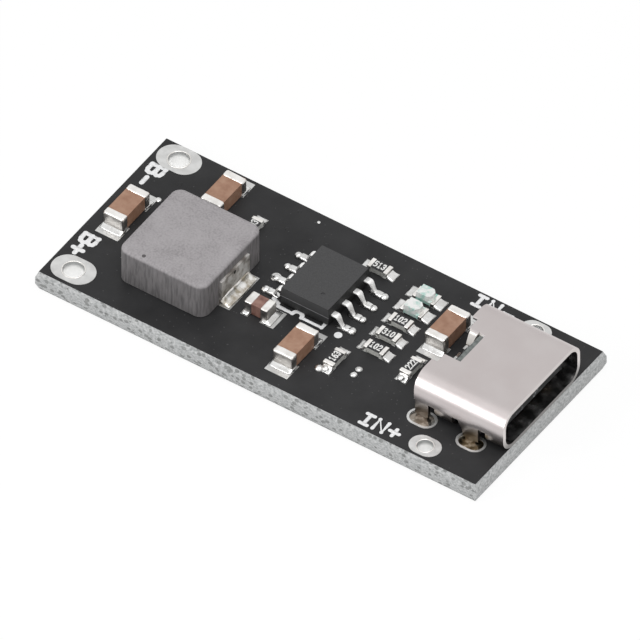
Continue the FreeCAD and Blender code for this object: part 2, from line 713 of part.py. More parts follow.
def build_chips():
    """Place every chip part with its ends, glaze or lens, lands and solder."""
    glaze = centred_box(
        "glaze_pattern", size.resistor_length - size.resistor_band * 2, size.resistor_width,
        size.resistor_height - size.resistor_wall,
        size.resistor_height - size.resistor_wall + size.resistor_glaze)
    lens = lens_pattern()
    lands, solder, glazes = [], [], []
    for name, family, x, y, turn in CHIPS:
        finish(copy_at(f"{name}_core", family.core, x, y, seat, turn))
        finish(copy_at(f"{name}_ends", family.ends, x, y, seat, turn))
        lands.append(copy_at(f"{name}_lands", family.lands, x, y, seat, turn))
        solder.append(copy_at(f"{name}_solder", family.solder, x, y, seat, turn))
        if family is resistor:
            glazes.append(copy_at(f"{name}_glaze", glaze, x, y, seat, turn))
        if family is lamp:
            finish(copy_at(f"{name}_lens", lens, x, y, seat, turn))
    lands += [test_land(side) for side in (-1, 1)]
    finish(group("chip_lands", lands))
    finish(group("chip_solder", solder))
    finish(group("resistor_glazes", glazes))


def test_land(side):
    """One of the two round test lands."""
    item = document.addObject("Part::Cylinder", "test_land_far" if side > 0 else "test_land_near")
    bind(item, Radius=size.test_land_radius, Height=size.land_thickness)
    return place(item, size.test_land_x, size.test_land_y + size.test_land_pitch / 2 * side,
                 size.board_thickness)


# Inductor

def build_inductor():
    """Moulded block round a flat winding, with a folded clip at each end."""
    half = size.inductor_length / 2
    half_width = size.inductor_width / 2
    clip_outer = half + size.clip_proud
    clip_inner = clip_outer - size.clip_thickness
    half_clip = size.clip_width / 2
    block_base = size.fit_gap
    top = block_base + size.inductor_height

    block = new_body("inductor_block")
    outline = sketch_on(block, "inductor_outline", lift=block_base)
    centred_rectangle(outline, size.inductor_length, size.inductor_width)
    solid = pad(block, "inductor_solid", outline, size.inductor_height)
    uprights = [f"Edge{number}" for number, edge in enumerate(solid.Shape.Edges, 1)
                if edge.BoundBox.ZLength > size.inductor_height.value / 2]
    rounded = fillet(block, "inductor_corners", solid, uprights, size.inductor_corner)
    rim = edges_where(rounded, lambda p: near(p.z, top))
    fillet(block, "inductor_rim", rounded, rim, size.inductor_top_round)
    recesses = sketch_on(block, "clip_recess_outline", lift=block_base)
    feet = sketch_on(block, "clip_foot_outline", lift=block_base)
    for side in (-1, 1):
        inner, outer = clip_inner * side, clip_outer * side
        toe = (clip_outer - size.clip_foot - size.fit_gap) * side
        low, high = (inner, outer) if side > 0 else (outer, inner)
        rectangle(recesses, low, high, -half_clip - size.fit_gap, half_clip + size.fit_gap)
        low, high = (toe, outer) if side > 0 else (outer, toe)
        rectangle(feet, low, high, -half_clip - size.fit_gap, half_clip + size.fit_gap)
    pocket(block, "clip_recesses", recesses, size.clip_height, up=True)
    pocket(block, "clip_foot_recesses", feet, size.clip_thickness, up=True)

    winding = new_body("winding_pattern")
    floor = block_base + size.winding_lift
    ring = sketch_on(winding, "winding_outline", lift=floor)
    circle(ring, ZERO, ZERO, size.winding_outer)
    circle(ring, ZERO, ZERO, size.winding_inner)
    pad(winding, "winding_ring", ring, size.winding_height)
    tails = sketch_on(winding, "winding_tails", lift=floor)
    tail_start = (size.winding_outer + size.winding_inner) / 2
    half_tail = size.winding_tail_width / 2
    rectangle(tails, tail_start, clip_inner, -half_tail, half_tail)
    rectangle(tails, -clip_inner, -tail_start, -half_tail, half_tail)
    pad(winding, "winding_tail_strips", tails, size.clip_thickness)
    core = cut("core_pattern", block, winding)
    where = (size.inductor_x, size.inductor_y, seat)
    finish(copy_at("inductor_core", core, *where))
    finish(copy_at("inductor_winding", winding, *where))

    clip = new_body("clip_pattern")
    profile = sketch_on(clip, "clip_profile", "XZ_Plane")
    toe = clip_outer - size.clip_foot
    polygon(profile, [
        (toe, ZERO), (clip_outer, ZERO), (clip_outer, size.clip_height),
        (clip_inner, size.clip_height), (clip_inner, size.clip_thickness),
        (toe, size.clip_thickness)])
    strip = pad(clip, "clip_strip", profile, size.clip_width, both_ways=True)
    fold = edges_where(strip, lambda p: near(p.x, clip_outer) and near(p.z, 0))
    fillet(clip, "clip_fold", strip, fold, size.clip_bend)
    finish(copy_at("inductor_clip_right", clip, *where))
    finish(copy_at("inductor_clip_left", clip, *where, turn=180))

    land = box("inductor_land", half - size.inductor_land_inner,
               clip_outer + size.inductor_land_reach, -size.inductor_land_width / 2,
               size.inductor_land_width / 2, -size.land_thickness, ZERO)
    finish(copy_at("inductor_lands", both_ends("inductor_land_pair", land), *where))
    wedge = solder_wedge("inductor_wedge", clip_outer, size.inductor_land_reach,
                         size.inductor_solder_height, size.clip_width)
    finish(copy_at("inductor_solder", both_ends("inductor_wedge_pair", wedge), *where))


# Charger chip

def lead_pattern(mid_height):
    """One gull-wing lead on the +X side of a package centred on the origin."""
    lead = new_body("lead_pattern")
    profile = sketch_on(lead, "lead_profile", "XZ_Plane")
    thick = size.lead_thickness
    start = size.ic_width / 2
    level_top = mid_height + thick / 2
    knee = start + size.lead_shoulder
    ankle = size.lead_toe - size.lead_foot
    polygon(profile, [
        (start, level_top), (knee, level_top), (ankle, thick), (size.lead_toe, thick),
        (size.lead_toe, ZERO), (ankle - thick, ZERO), (knee - thick, level_top - thick),
        (start, level_top - thick)])
    strip = pad(lead, "lead_strip", profile, size.lead_width, both_ways=True)
    bends = edges_where(strip, lambda p: near(p.x, knee) and near(p.z, level_top))
    bends += edges_where(strip, lambda p: near(p.x, ankle - thick) and near(p.z, 0))
    fillet(lead, "lead_bends", strip, bends, size.lead_round)
    return lead


def build_ic():
    """Eight-lead moulded package with its bottom pad, leads, lands and solder."""
    where = (size.ic_x, size.ic_y, seat)
    mid_height = size.ic_base + size.ic_lower
    package = new_body("ic_package")
    for half, height, down in (("upper", size.ic_upper, False), ("lower", size.ic_lower, True)):
        outline = sketch_on(package, f"ic_{half}_outline", lift=mid_height)
        centred_rectangle(outline, size.ic_width, size.ic_length)
        pad(package, f"ic_{half}_half", outline, height, draft=size.ic_draft, down=down)
    dimple = sketch_on(package, "ic_dimple_outline", lift=mid_height + size.ic_upper)
    circle(dimple, size.ic_dimple_x, size.ic_dimple_y, size.ic_dimple_radius)
    pocket(package, "ic_dimple", dimple, size.ic_dimple_depth)
    finish(place(package, *where))
    finish(place(centred_box("ic_thermal_pad", size.thermal_pad_width, size.thermal_pad_length,
                             ZERO, size.ic_base),
                 size.ic_x - size.thermal_pad_width / 2, size.ic_y - size.thermal_pad_length / 2,
                 seat))

    lead = lead_pattern(mid_height)
    half_land = size.ic_land_width / 2
    land = box("lead_land", size.ic_land_inner, size.ic_land_outer, -half_land, half_land,
               -size.land_thickness, ZERO)
    bead = solder_wedge("lead_toe", size.lead_toe, size.ic_land_outer - size.lead_toe,
                        size.ic_solder_height, size.lead_width)
    lands, beads = [], []
    for side, turn in (("right", 0), ("left", 180)):
        row = []
        for number in range(4):
            shift = size.lead_pitch * (number - 1.5)
            spot = (size.ic_x, size.ic_y + shift, seat)
            row.append(copy_at(f"lead_{side}_{number}", lead, *spot, turn=turn))
            lands.append(copy_at(f"lead_land_{side}_{number}", land, *spot, turn=turn))
            beads.append(copy_at(f"lead_bead_{side}_{number}", bead, *spot, turn=turn))
        finish(group(f"ic_leads_{side}", row))
    middle = box("ic_middle_land", -size.thermal_pad_width / 2, size.thermal_pad_width / 2,
                 -size.thermal_pad_length / 2, size.thermal_pad_length / 2,
                 -size.land_thickness, ZERO)
    lands.append(copy_at("ic_middle_land_placed", middle, *where))
    finish(group("ic_lands", lands))
    finish(group("ic_solder", beads))


# Receptacle

usb_floor = size.board_thickness
usb_middle = usb_floor + size.usb_height / 2
usb_roof = usb_floor + size.usb_height


def shell_outline(sketch, inset=ZERO):
    """Draw the shell's cross-section, inset evenly from its outer face."""
    round_rectangle(sketch, ZERO, usb_middle, size.usb_width - inset * 2,
                    size.usb_height - inset * 2, size.usb_corner - inset)


def leg_profile(sketch, start, end, flare, tip_start, window_start):
    """Draw one leg's side: flared where it leaves the wall, narrow where it enters its slot."""
    left, right = usb_rear + start, usb_rear + end
    tip_left = left + tip_start
    tip_right = tip_left + size.usb_tip_width
    top = usb_floor + size.usb_window_rise
    over = top + size.usb_wall
    shoulder = seat + size.fit_gap
    points = [(tip_left, usb_floor - size.usb_leg_reach), (tip_right, usb_floor - size.usb_leg_reach),
              (tip_right, shoulder), (right, shoulder), (right, over)]
    if flare is not None:
        points += [(window_start, over), (window_start, top), (left - flare, top),
                   (left, top - flare * 2)]
    else:
        points += [(left, over)]
    polygon(sketch, points + [(left, shoulder), (tip_left, shoulder)])


def build_shell():
    """Folded steel shell with leg windows, four legs, a stepped rear edge and its folded tab."""
    body = new_body("usb_shell")
    section = sketch_on(body, "shell_section", "YZ_Plane", lift=usb_rear)
    shell_outline(section)
    shell_outline(section, size.usb_wall)
    pad(body, "shell_tube", section, size.usb_length)

    windows = sketch_on(body, "leg_window_outlines", lift=usb_floor)
    beyond = size.usb_width / 2 + size.usb_wall
    fore_window = usb_rear + size.usb_fore_window_start
    for side in (-1, 1):
        low, high = (size.usb_window_inner, beyond) if side > 0 else (-beyond, -size.usb_window_inner)
        rectangle(windows, usb_rear - size.usb_wall, usb_rear + size.usb_rear_window_end, low, high)
        rectangle(windows, fore_window, usb_rear + size.usb_fore_window_end, low, high)
    pocket(body, "leg_windows", windows, size.usb_window_rise, up=True)
    for side in (-1, 1):
        lift = (size.usb_width - size.usb_wall) / 2 * -side
        legs = sketch_on(body, f"leg_profiles_{'far' if side > 0 else 'near'}", "XZ_Plane", lift)
        leg_profile(legs, size.usb_rear_leg_start, size.usb_rear_leg_end, None,
                    size.usb_tip_start, None)
        leg_profile(legs, size.usb_fore_leg_start, size.usb_fore_leg_end, size.usb_leg_flare,
                    FORE_TIP_START, fore_window)
        pad(body, f"legs_{'far' if side > 0 else 'near'}", legs, size.usb_wall, both_ways=True)

    tails = sketch_on(body, "tail_window_outline", lift=usb_floor)
    rectangle(tails, usb_rear - size.usb_wall, usb_rear + size.usb_tail_window_length,
              -size.usb_tail_window_width / 2, size.usb_tail_window_width / 2)
    pocket(body, "tail_window", tails, size.usb_wall + size.fit_gap, up=True)

    notch = sketch_on(body, "notch_outline", lift=usb_roof)
    behind, half_step = usb_rear - size.usb_wall, size.usb_step_width / 2
    step, front = usb_rear + size.usb_step_length, usb_rear + size.usb_notch_length
    polygon(notch, [
        (behind, -half_step), (step, -half_step), (step, size.usb_notch_near),
        (front, size.usb_notch_near), (front, size.usb_notch_far), (step, size.usb_notch_far),
        (step, half_step), (behind, half_step)])
    pocket(body, "roof_notch", notch, size.usb_wall + size.fit_gap)
    tab = sketch_on(body, "tab_profile", "XZ_Plane", lift=size.usb_wall / 2 - size.usb_notch_far)
    tab_low = usb_roof - size.usb_tab_drop
    polygon(tab, [
        (usb_rear + size.usb_tab_start, usb_roof), (usb_rear + size.usb_tab_tip_start, tab_low),
        (usb_rear + size.usb_tab_tip_end, tab_low), (usb_rear + size.usb_tab_end, usb_roof)])
    folded = pad(body, "roof_tab", tab, size.usb_wall, both_ways=True)
    tab_near = size.usb_notch_far - size.usb_wall
    bend = edges_where(folded, lambda p: near(p.y, tab_near) and near(p.z, usb_roof))
    fillet(body, "tab_bend", folded, bend, size.usb_wall - size.fit_gap)
    return finish(place(body, y=size.usb_shift))


def contact_pattern(name, strip_floor):
    """One contact: a strip on the tongue that turns down behind it to a foot on its land."""
    body = new_body(name)
    profile = sketch_on(body, f"{name}_profile", "XZ_Plane")
    thick = size.contact_thickness
    front = usb_mouth - size.tongue_setback - size.contact_tip
    drop, heel = usb_rear + size.contact_drop, usb_rear - size.contact_heel
    polygon(profile, [
        (front, strip_floor), (front, strip_floor + thick), (drop, strip_floor + thick),
        (drop, seat + thick), (heel, seat + thick), (heel, seat),
        (drop + thick, seat), (drop + thick, strip_floor)])
    pad(body, f"{name}_strip", profile, size.contact_width, both_ways=True)
    return body


def build_receptacle_inside():
    """Moulding with its tongue, six contacts, the steel plate in the tongue and the tails' lands."""
    half_tongue = size.tongue_thickness / 2
    upper_floor = usb_middle + half_tongue + size.contact_proud - size.contact_thickness
    lower_floor = usb_middle - half_tongue - size.contact_proud
    upper = contact_pattern("upper_contact", upper_floor)
    lower = contact_pattern("lower_contact", lower_floor)
    places = (size.contact_inner_y, -size.contact_middle_y, -size.contact_outer_y)
    uppers = [copy_at(f"upper_contact_{number}", upper, y=y + size.usb_shift)
              for number, y in enumerate(places)]
    lowers = [copy_at(f"lower_contact_{number}", lower, y=-y + size.usb_shift)
              for number, y in enumerate(places)]
    upper_group = finish(group("usb_contacts_upper", uppers))
    lower_group = finish(group("usb_contacts_lower", lowers))

    tongue_tip = usb_mouth - size.tongue_setback
    half_width = size.tongue_width / 2
    plate_front = tongue_tip - size.mid_plate_setback
    half_plate = size.mid_plate_thickness / 2
    plate = finish(box("usb_mid_plate", plate_front - size.mid_plate_length, plate_front,
                       size.usb_shift - half_width, size.usb_shift + half_width,
                       usb_middle - half_plate, usb_middle + half_plate))

    moulding = new_body("moulding_pattern")
    start = usb_rear + size.housing_start
    base = sketch_on(moulding, "housing_base_outline", "YZ_Plane", lift=start)
    shell_outline(base, size.usb_wall + size.fit_gap)
    pad(moulding, "housing_base", base, size.housing_base)
    step = sketch_on(moulding, "housing_step_outline", "XZ_Plane")
    step_start, step_low = usb_rear + size.housing_step_start, usb_floor + size.usb_wall + size.fit_gap
    rectangle(step, step_start, start + size.usb_wall, step_low, usb_floor + size.housing_step_top)
    pad(moulding, "housing_step", step, size.housing_step_width, both_ways=True)
    tongue = sketch_on(moulding, "tongue_outline", "YZ_Plane", lift=start)
    centred_rectangle(tongue, size.tongue_width, size.tongue_thickness, ZERO, usb_middle)
    blade = pad(moulding, "tongue", tongue, tongue_tip - start)
    tip = edges_where(blade, lambda p: near(p.x, tongue_tip))
    chamfer(moulding, "tongue_tip_bevel", blade, tip, size.tongue_nose)
    place(moulding, y=size.usb_shift)
    inserts = group("moulded_in", [upper_group, lower_group, plate])
    finish(cut("usb_housing", moulding, inserts))

    half_land = size.tail_land_width / 2
    heel = usb_rear - size.contact_heel
    land_start = heel - size.tail_land_reach
    land = box("tail_land", land_start, land_start + size.tail_land_length, -half_land, half_land,
               size.board_thickness, seat)
    bead = solder_wedge("tail_heel", -heel, size.tail_land_reach, size.tail_solder_height,
                        size.contact_width)
    rows = [y * side for y in places for side in (-1, 1)]
    finish(group("usb_tail_lands", [
        copy_at(f"tail_land_{number}", land, y=y) for number, y in enumerate(rows)]))
    finish(group("usb_tail_solder", [
        copy_at(f"tail_bead_{number}", bead, y=y + size.usb_shift, z=seat, turn=180)
        for number, y in enumerate(rows)]))


def build_leg_solder():
    """Solder that fills each leg slot round its leg's narrow tip."""
    body = new_body("leg_plugs")
    sketch = sketch_on(body, "leg_plug_outlines", lift=size.usb_plug_floor)
    leg_slots(sketch)
    pad(body, "leg_plug_fill", sketch, size.usb_plug_top - size.usb_plug_floor)
    spaces = []
    for start, tip_start in ((size.usb_rear_leg_start, size.usb_tip_start),
                             (size.usb_fore_leg_start, FORE_TIP_START)):
        left = usb_rear + start + tip_start
        for side in (-1, 1):
            middle = (size.usb_width - size.usb_wall) / 2 * side + size.usb_shift
            spaces.append(box(f"leg_space_{len(spaces)}", left, left + size.usb_tip_width,
                              middle - size.usb_wall / 2, middle + size.usb_wall / 2,
                              usb_floor - size.usb_leg_reach, usb_floor))
    finish(cut("usb_leg_solder", body, group("leg_spaces", spaces)))


def check(item):
    """Stop if an object failed or its shape is empty or broken."""
    if "Invalid" in item.State or "Error" in item.State:
        raise ValueError(f"{item.Name} failed: {item.State}")


def export_all():
    """Check every object, then write one file for each sub-part."""
    document.recompute()
    for item in document.Objects:
        check(item)
    for item in sub_parts:
        if item.Shape.isNull() or not item.Shape.isValid() or item.Shape.Volume <= 0:
            raise ValueError(f"{item.Label} has no valid shape")
    os.makedirs("parts", exist_ok=True)
    for item in sub_parts:
        item.Shape.exportStep(f"parts/{item.Label}.step")


build_board()
for hole_name, hole_kind, hole_x, hole_y in WIRE_HOLES:
    eyelet(hole_name, wire_hole_outlines(hole_kind, hole_x, hole_y))
build_slot_lands()
build_chips()
build_inductor()
build_ic()
build_shell()
build_receptacle_inside()
build_leg_solder()
export_all()
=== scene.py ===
"""Visual model of a lithium battery charger module: a black circuit board with its parts, seen from above."""

import json
import math

import bmesh
import bpy
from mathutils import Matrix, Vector, noise


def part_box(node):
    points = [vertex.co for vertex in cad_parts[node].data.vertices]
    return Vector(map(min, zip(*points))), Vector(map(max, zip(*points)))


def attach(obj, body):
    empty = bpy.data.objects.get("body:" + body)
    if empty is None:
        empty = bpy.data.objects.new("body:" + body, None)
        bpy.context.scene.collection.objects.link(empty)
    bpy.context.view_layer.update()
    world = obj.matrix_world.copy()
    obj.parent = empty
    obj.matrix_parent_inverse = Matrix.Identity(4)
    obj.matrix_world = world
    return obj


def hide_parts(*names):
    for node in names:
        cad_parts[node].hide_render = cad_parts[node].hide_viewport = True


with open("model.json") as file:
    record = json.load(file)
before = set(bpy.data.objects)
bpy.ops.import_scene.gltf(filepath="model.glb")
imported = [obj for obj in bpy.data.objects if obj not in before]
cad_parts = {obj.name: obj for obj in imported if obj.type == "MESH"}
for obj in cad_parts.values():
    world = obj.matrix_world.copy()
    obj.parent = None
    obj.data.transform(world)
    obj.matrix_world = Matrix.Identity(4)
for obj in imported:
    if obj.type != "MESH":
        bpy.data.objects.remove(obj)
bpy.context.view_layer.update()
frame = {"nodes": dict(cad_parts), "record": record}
nodes = frame["nodes"]

MM = 0.001
BOARD_TOP = 1.6 * MM
INK_THICKNESS = 0.02 * MM

# A dark mark on the inductor's block, and one on its clip.
DENT = Vector((-10.85, -4.73, 4.51)) * MM
PINHOLE = Vector((-5.7, -1.66, 3.39)) * MM
MARK_RADIUS = 0.14 * MM

# The receptacle: its middle, half of the straight parts of its section, how far the inner wall goes out from
# those, the plane of its rim, its folded tab, the notch in its roof, and the place between its pairs of legs.
SHELL_MIDDLE = Vector((13.85, 0.25, 3.23)) * MM
SHELL_CORE = Vector((0, 3.27, 0.43)) * MM
INNER_REACH = 1.05 * MM
RIM_PLANE = 17.38 * MM
TAB_MIDDLE = Vector((11.1, 1.5, 4.1)) * MM
TAB_REACH, TAB_TOP = 0.85 * MM, 4.8 * MM
NOTCH_FLOOR, NOTCH_END = 4.45 * MM, 12.9 * MM
BETWEEN_LEGS = 13.0 * MM


# Colours and materials


def linear(code):
    """The linear colour that a hex code such as #3A3A3B stands for."""
    parts = [int(code[i:i + 2], 16) / 255 for i in (1, 3, 5)]
    return [p / 12.92 if p <= 0.04045 else ((p + 0.055) / 1.055) ** 2.4 for p in parts] + [1.0]


def add_node(tree, kind, inputs=None, **settings):
    """One node with its settings. Each named socket gets a value, a link, or another node's first output."""
    node = tree.nodes.new(kind)
    for name, value in settings.items():
        setattr(node, name, value)
    for name, value in (inputs or {}).items():
        if isinstance(value, bpy.types.Node):
            value = value.outputs[0]
        if isinstance(value, bpy.types.NodeSocket):
            tree.links.new(value, node.inputs[name])
        else:
            node.inputs[name].default_value = value
    return node


def start_material(name, colour, roughness, metallic=0.0):
    """A material with its shader, and the place on the object that its patterns read."""
    material = bpy.data.materials.new(name)
    material.use_nodes = True
    tree = material.node_tree
    tree.nodes.clear()
    values = {"Base Color": linear(colour), "Roughness": roughness, "Metallic": metallic}
    shader = add_node(tree, "ShaderNodeBsdfPrincipled", values)
    add_node(tree, "ShaderNodeOutputMaterial", {"Surface": shader})
    place = add_node(tree, "ShaderNodeTexCoord").outputs["Object"]
    return material, tree, shader, place


def facing(tree):
    """The direction in which the surface faces, as its X, Y and Z on the object."""
    normal = add_node(tree, "ShaderNodeTexCoord").outputs["Normal"]
    return add_node(tree, "ShaderNodeSeparateXYZ", {"Vector": normal}).outputs


def mottle(tree, place, size, detail=3.0, stretch=(1, 1, 1)):
    """Cloudy variation from 0 to 1 whose patches are about this size in metres."""
    scaled = add_node(tree, "ShaderNodeMapping", {"Vector": place, "Scale": stretch})
    values = {"Vector": scaled, "Scale": 1 / size, "Detail": detail}
    return add_node(tree, "ShaderNodeTexNoise", values).outputs["Fac"]


def shade_between(tree, factor, stops):
    """Colours along a factor, from (place, hex code) pairs."""
    ramp = add_node(tree, "ShaderNodeValToRGB", {"Fac": factor})
    ramp.color_ramp.elements[0].position, ramp.color_ramp.elements[1].position = stops[0][0], stops[-1][0]
    ramp.color_ramp.elements[0].color = linear(stops[0][1])
    ramp.color_ramp.elements[1].color = linear(stops[-1][1])
    for where, code in stops[1:-1]:
        ramp.color_ramp.elements.new(where).color = linear(code)
    return ramp.outputs["Color"]


def raise_surface(tree, shader, height, depth):
    """Bumps on the shader, this deep in metres."""
    bump = add_node(tree, "ShaderNodeBump", {"Height": height, "Distance": depth})
    tree.links.new(bump.outputs[0], shader.inputs["Normal"])


def metal(name, colour, tint, roughness, wave, depth):
    """A metal whose surface waves a little and is darker in places."""
    material, tree, shader, place = start_material(name, colour, roughness, 1.0)
    waves = mottle(tree, place, wave)
    tree.links.new(shade_between(tree, waves, [(0.35, tint), (0.6, colour)]), shader.inputs["Base Color"])
    spread = add_node(tree, "ShaderNodeMapRange", {
        "Value": mottle(tree, place, wave * 0.4), "To Min": roughness * 0.75, "To Max": roughness * 1.3})
    tree.links.new(spread.outputs[0], shader.inputs["Roughness"])
    raise_surface(tree, shader, waves, depth)
    return material


def tinned_finish():
    """Tinned copper lands: satin and light grey. The holes' walls have painted shade at the lip and painted
    light below.
    """
    material, tree, shader, place = start_material("tinned_copper_pad", "#CDCDCC", 0.5, 1.0)
    flat = add_node(tree, "ShaderNodeMath", {0: facing(tree)["Z"]}, operation="ABSOLUTE")
    clouds = shade_between(tree, mottle(tree, place, 0.6 * MM), [(0.35, "#CECECD"), (0.65, "#DEDEDD")])
    # The holes' walls: painted shade at the lip, and painted light lower down.
    height = add_node(tree, "ShaderNodeSeparateXYZ", {"Vector": place}).outputs["Z"]
    rise = add_node(tree, "ShaderNodeMapRange", {
        "Value": height, "From Min": 1.1 * MM, "From Max": BOARD_TOP})
    wall = shade_between(tree, rise, [(0.1, "#FFFFFE"), (0.7, "#B4B5B5")])
    colour = add_node(tree, "ShaderNodeMix", {0: flat, 6: wall, 7: clouds}, data_type="RGBA")
    tree.links.new(colour.outputs[2], shader.inputs["Base Color"])
    raise_surface(tree, shader, mottle(tree, place, 0.2 * MM), 0.006 * MM)
    return material


def board_finish():
    """Matt black lacquer over the top and bottom, and pale sawn glass fibre between them.

    The lacquer shows fine dust and small pits. The sides show bundles of glass 0.16 mm thick, cut across,
    and the long sides have dark pocks 0.3 mm wide from the scoring wheel.
    """
    material, tree, shader, place = start_material("black_lacquer_on_glass_board", "#303031", 0.5)
    shader.inputs["Specular IOR Level"].default_value = 0.2
    height = add_node(tree, "ShaderNodeSeparateXYZ", {"Vector": place}).outputs["Z"]
    above = add_node(tree, "ShaderNodeMath", {0: height, 1: BOARD_TOP - 0.03 * MM}, operation="GREATER_THAN")
    below = add_node(tree, "ShaderNodeMath", {0: height, 1: 0.03 * MM}, operation="LESS_THAN")
    lacquered = add_node(tree, "ShaderNodeMath", {0: above, 1: below}, operation="MAXIMUM")
    lacquer = shade_between(tree, mottle(tree, place, 2.4 * MM), [(0.3, "#2A2A2B"), (0.7, "#353536")])
    dust = add_node(tree, "ShaderNodeTexVoronoi", {"Vector": place, "Scale": 1 / (0.5 * MM)}, feature="F1")
    speck = add_node(tree, "ShaderNodeMath", {0: dust.outputs["Distance"], 1: 0.09}, operation="LESS_THAN")
    lighter_patches = add_node(tree, "ShaderNodeMix", {0: speck, 6: lacquer, 7: linear("#4A4A4B")}, data_type="RGBA")
    bundles = mottle(tree, place, 0.16 * MM, 4.0, (0.8, 0.8, 1.3))
    fibre = shade_between(tree, bundles, [
        (0.30, "#9FA1A1"), (0.44, "#BABCBC"), (0.58, "#CCCDCD"), (0.72, "#DADBDB")])
    sideways = add_node(tree, "ShaderNodeMath", {0: facing(tree)["Y"]}, operation="ABSOLUTE")
    pocked = add_node(tree, "ShaderNodeTexVoronoi", {
        "Vector": add_node(tree, "ShaderNodeMapping", {"Vector": place, "Scale": (1, 1, 1.3)}),
        "Scale": 1 / (0.5 * MM)}, feature="F1")
    pock = add_node(tree, "ShaderNodeMath", {0: pocked.outputs["Distance"], 1: 0.34}, operation="LESS_THAN")
    pock = add_node(tree, "ShaderNodeMath", {0: pock, 1: sideways}, operation="MULTIPLY")
    pock = add_node(tree, "ShaderNodeMath", {0: pock, 1: 0.58}, operation="MULTIPLY")
    fibre = add_node(tree, "ShaderNodeMix", {
        0: pock, 6: fibre, 7: linear("#6A6B69")}, data_type="RGBA").outputs[2]
    colour = add_node(tree, "ShaderNodeMix", {0: lacquered, 6: fibre, 7: lighter_patches.outputs[2]}, data_type="RGBA")
    tree.links.new(colour.outputs[2], shader.inputs["Base Color"])
    gloss = add_node(tree, "ShaderNodeMapRange", {"Value": lacquered, "To Min": 0.8, "To Max": 0.48})
    tree.links.new(gloss.outputs[0], shader.inputs["Roughness"])
    pits = add_node(tree, "ShaderNodeMath", {
        0: mottle(tree, place, 0.12 * MM), 1: 0.12}, operation="MULTIPLY")
    relief = add_node(tree, "ShaderNodeMix", {0: lacquered, 2: bundles, 3: pits})
    raise_surface(tree, shader, relief, 0.03 * MM)
    return material


def pressed_powder_finish():
    """Grey pressed iron powder: a dry surface, with the fine upright scores that the die leaves on its sides.

    The scores are 0.14 mm apart. The sides are painted darker than the top, as painted shade. One small dent
    by the near rim is darker.
    """
    material, tree, shader, place = start_material("pressed_iron_powder", "#A9A5A7", 0.68)
    grains = mottle(tree, place, 0.14 * MM, 3.0, (1, 1, 0.12))
    clouds = mottle(tree, place, 1.4 * MM)
    both = add_node(tree, "ShaderNodeMix", {0: 0.6, 2: clouds, 3: grains})
    colour = shade_between(tree, both, [(0.34, "#938F91"), (0.5, "#A7A3A5"), (0.68, "#B1ADAF")])
    away = add_node(tree, "ShaderNodeVectorMath", {0: place, 1: DENT}, operation="DISTANCE")
    dent = add_node(tree, "ShaderNodeMath", {0: away.outputs["Value"], 1: MARK_RADIUS}, operation="LESS_THAN")
    # Painted shade: the sides take a darker copy of the colour, with the scores in it.
    scored_and_shaded_sides = shade_between(tree, grains, [(0.34, "#656364"), (0.5, "#797677"), (0.68, "#858283")])
    level = add_node(tree, "ShaderNodeMapRange", {
        "Value": facing(tree)["Z"], "From Min": 0.15, "From Max": 0.6})
    whole = add_node(tree, "ShaderNodeMix", {0: level, 6: scored_and_shaded_sides, 7: colour}, data_type="RGBA")
    dented = add_node(tree, "ShaderNodeMix", {
        0: dent, 6: whole.outputs[2], 7: linear("#5A5758")}, data_type="RGBA")
    tree.links.new(dented.outputs[2], shader.inputs["Base Color"])
    raise_surface(tree, shader, grains, 0.04 * MM)
    return material


def clip_finish():
    """Dull tinned strip: pale where it is rubbed, with brown-grey patches 0.7 mm wide and a dark pinhole."""
    material, tree, shader, place = start_material("tinned_inductor_clip", "#F4F1EE", 0.5, 1.0)
    patches = mottle(tree, place, 0.7 * MM, 4.0)
    colour = shade_between(tree, patches, [(0.36, "#9A938D"), (0.48, "#D2CDC7"), (0.6, "#FBF9F6")])
    away = add_node(tree, "ShaderNodeVectorMath", {0: place, 1: PINHOLE}, operation="DISTANCE")
    hole = add_node(tree, "ShaderNodeMath", {0: away.outputs["Value"], 1: MARK_RADIUS}, operation="LESS_THAN")
    holed = add_node(tree, "ShaderNodeMix", {0: hole, 6: colour, 7: linear("#1E1C1B")}, data_type="RGBA")
    tree.links.new(holed.outputs[2], shader.inputs["Base Color"])
    raise_surface(tree, shader, patches, 0.05 * MM)
    return material


def ends_finish():
    """Tinned chip ends: painted light on top, and painted shade on their upright faces, which are darker."""
    material, tree, shader, place = start_material("tinned_chip_ends", "#FFFDFA", 0.32, 1.0)
    waves = mottle(tree, place, 0.7 * MM)
    # Painted light on the tops and painted shade on the upright faces, mixed by which way the surface faces.
    painted_lit_top = shade_between(tree, waves, [(0.35, "#F0EDE9"), (0.6, "#FFFDFA")])
    dull = shade_between(tree, waves, [(0.35, "#A8A4A0"), (0.6, "#CDC9C5")])
    level = add_node(tree, "ShaderNodeMapRange", {
        "Value": facing(tree)["Z"], "From Min": -0.1, "From Max": 1.0})
    colour = add_node(tree, "ShaderNodeMix", {0: level, 6: dull, 7: painted_lit_top}, data_type="RGBA")
    tree.links.new(colour.outputs[2], shader.inputs["Base Color"])
    raise_surface(tree, shader, waves, 0.006 * MM)
    return material


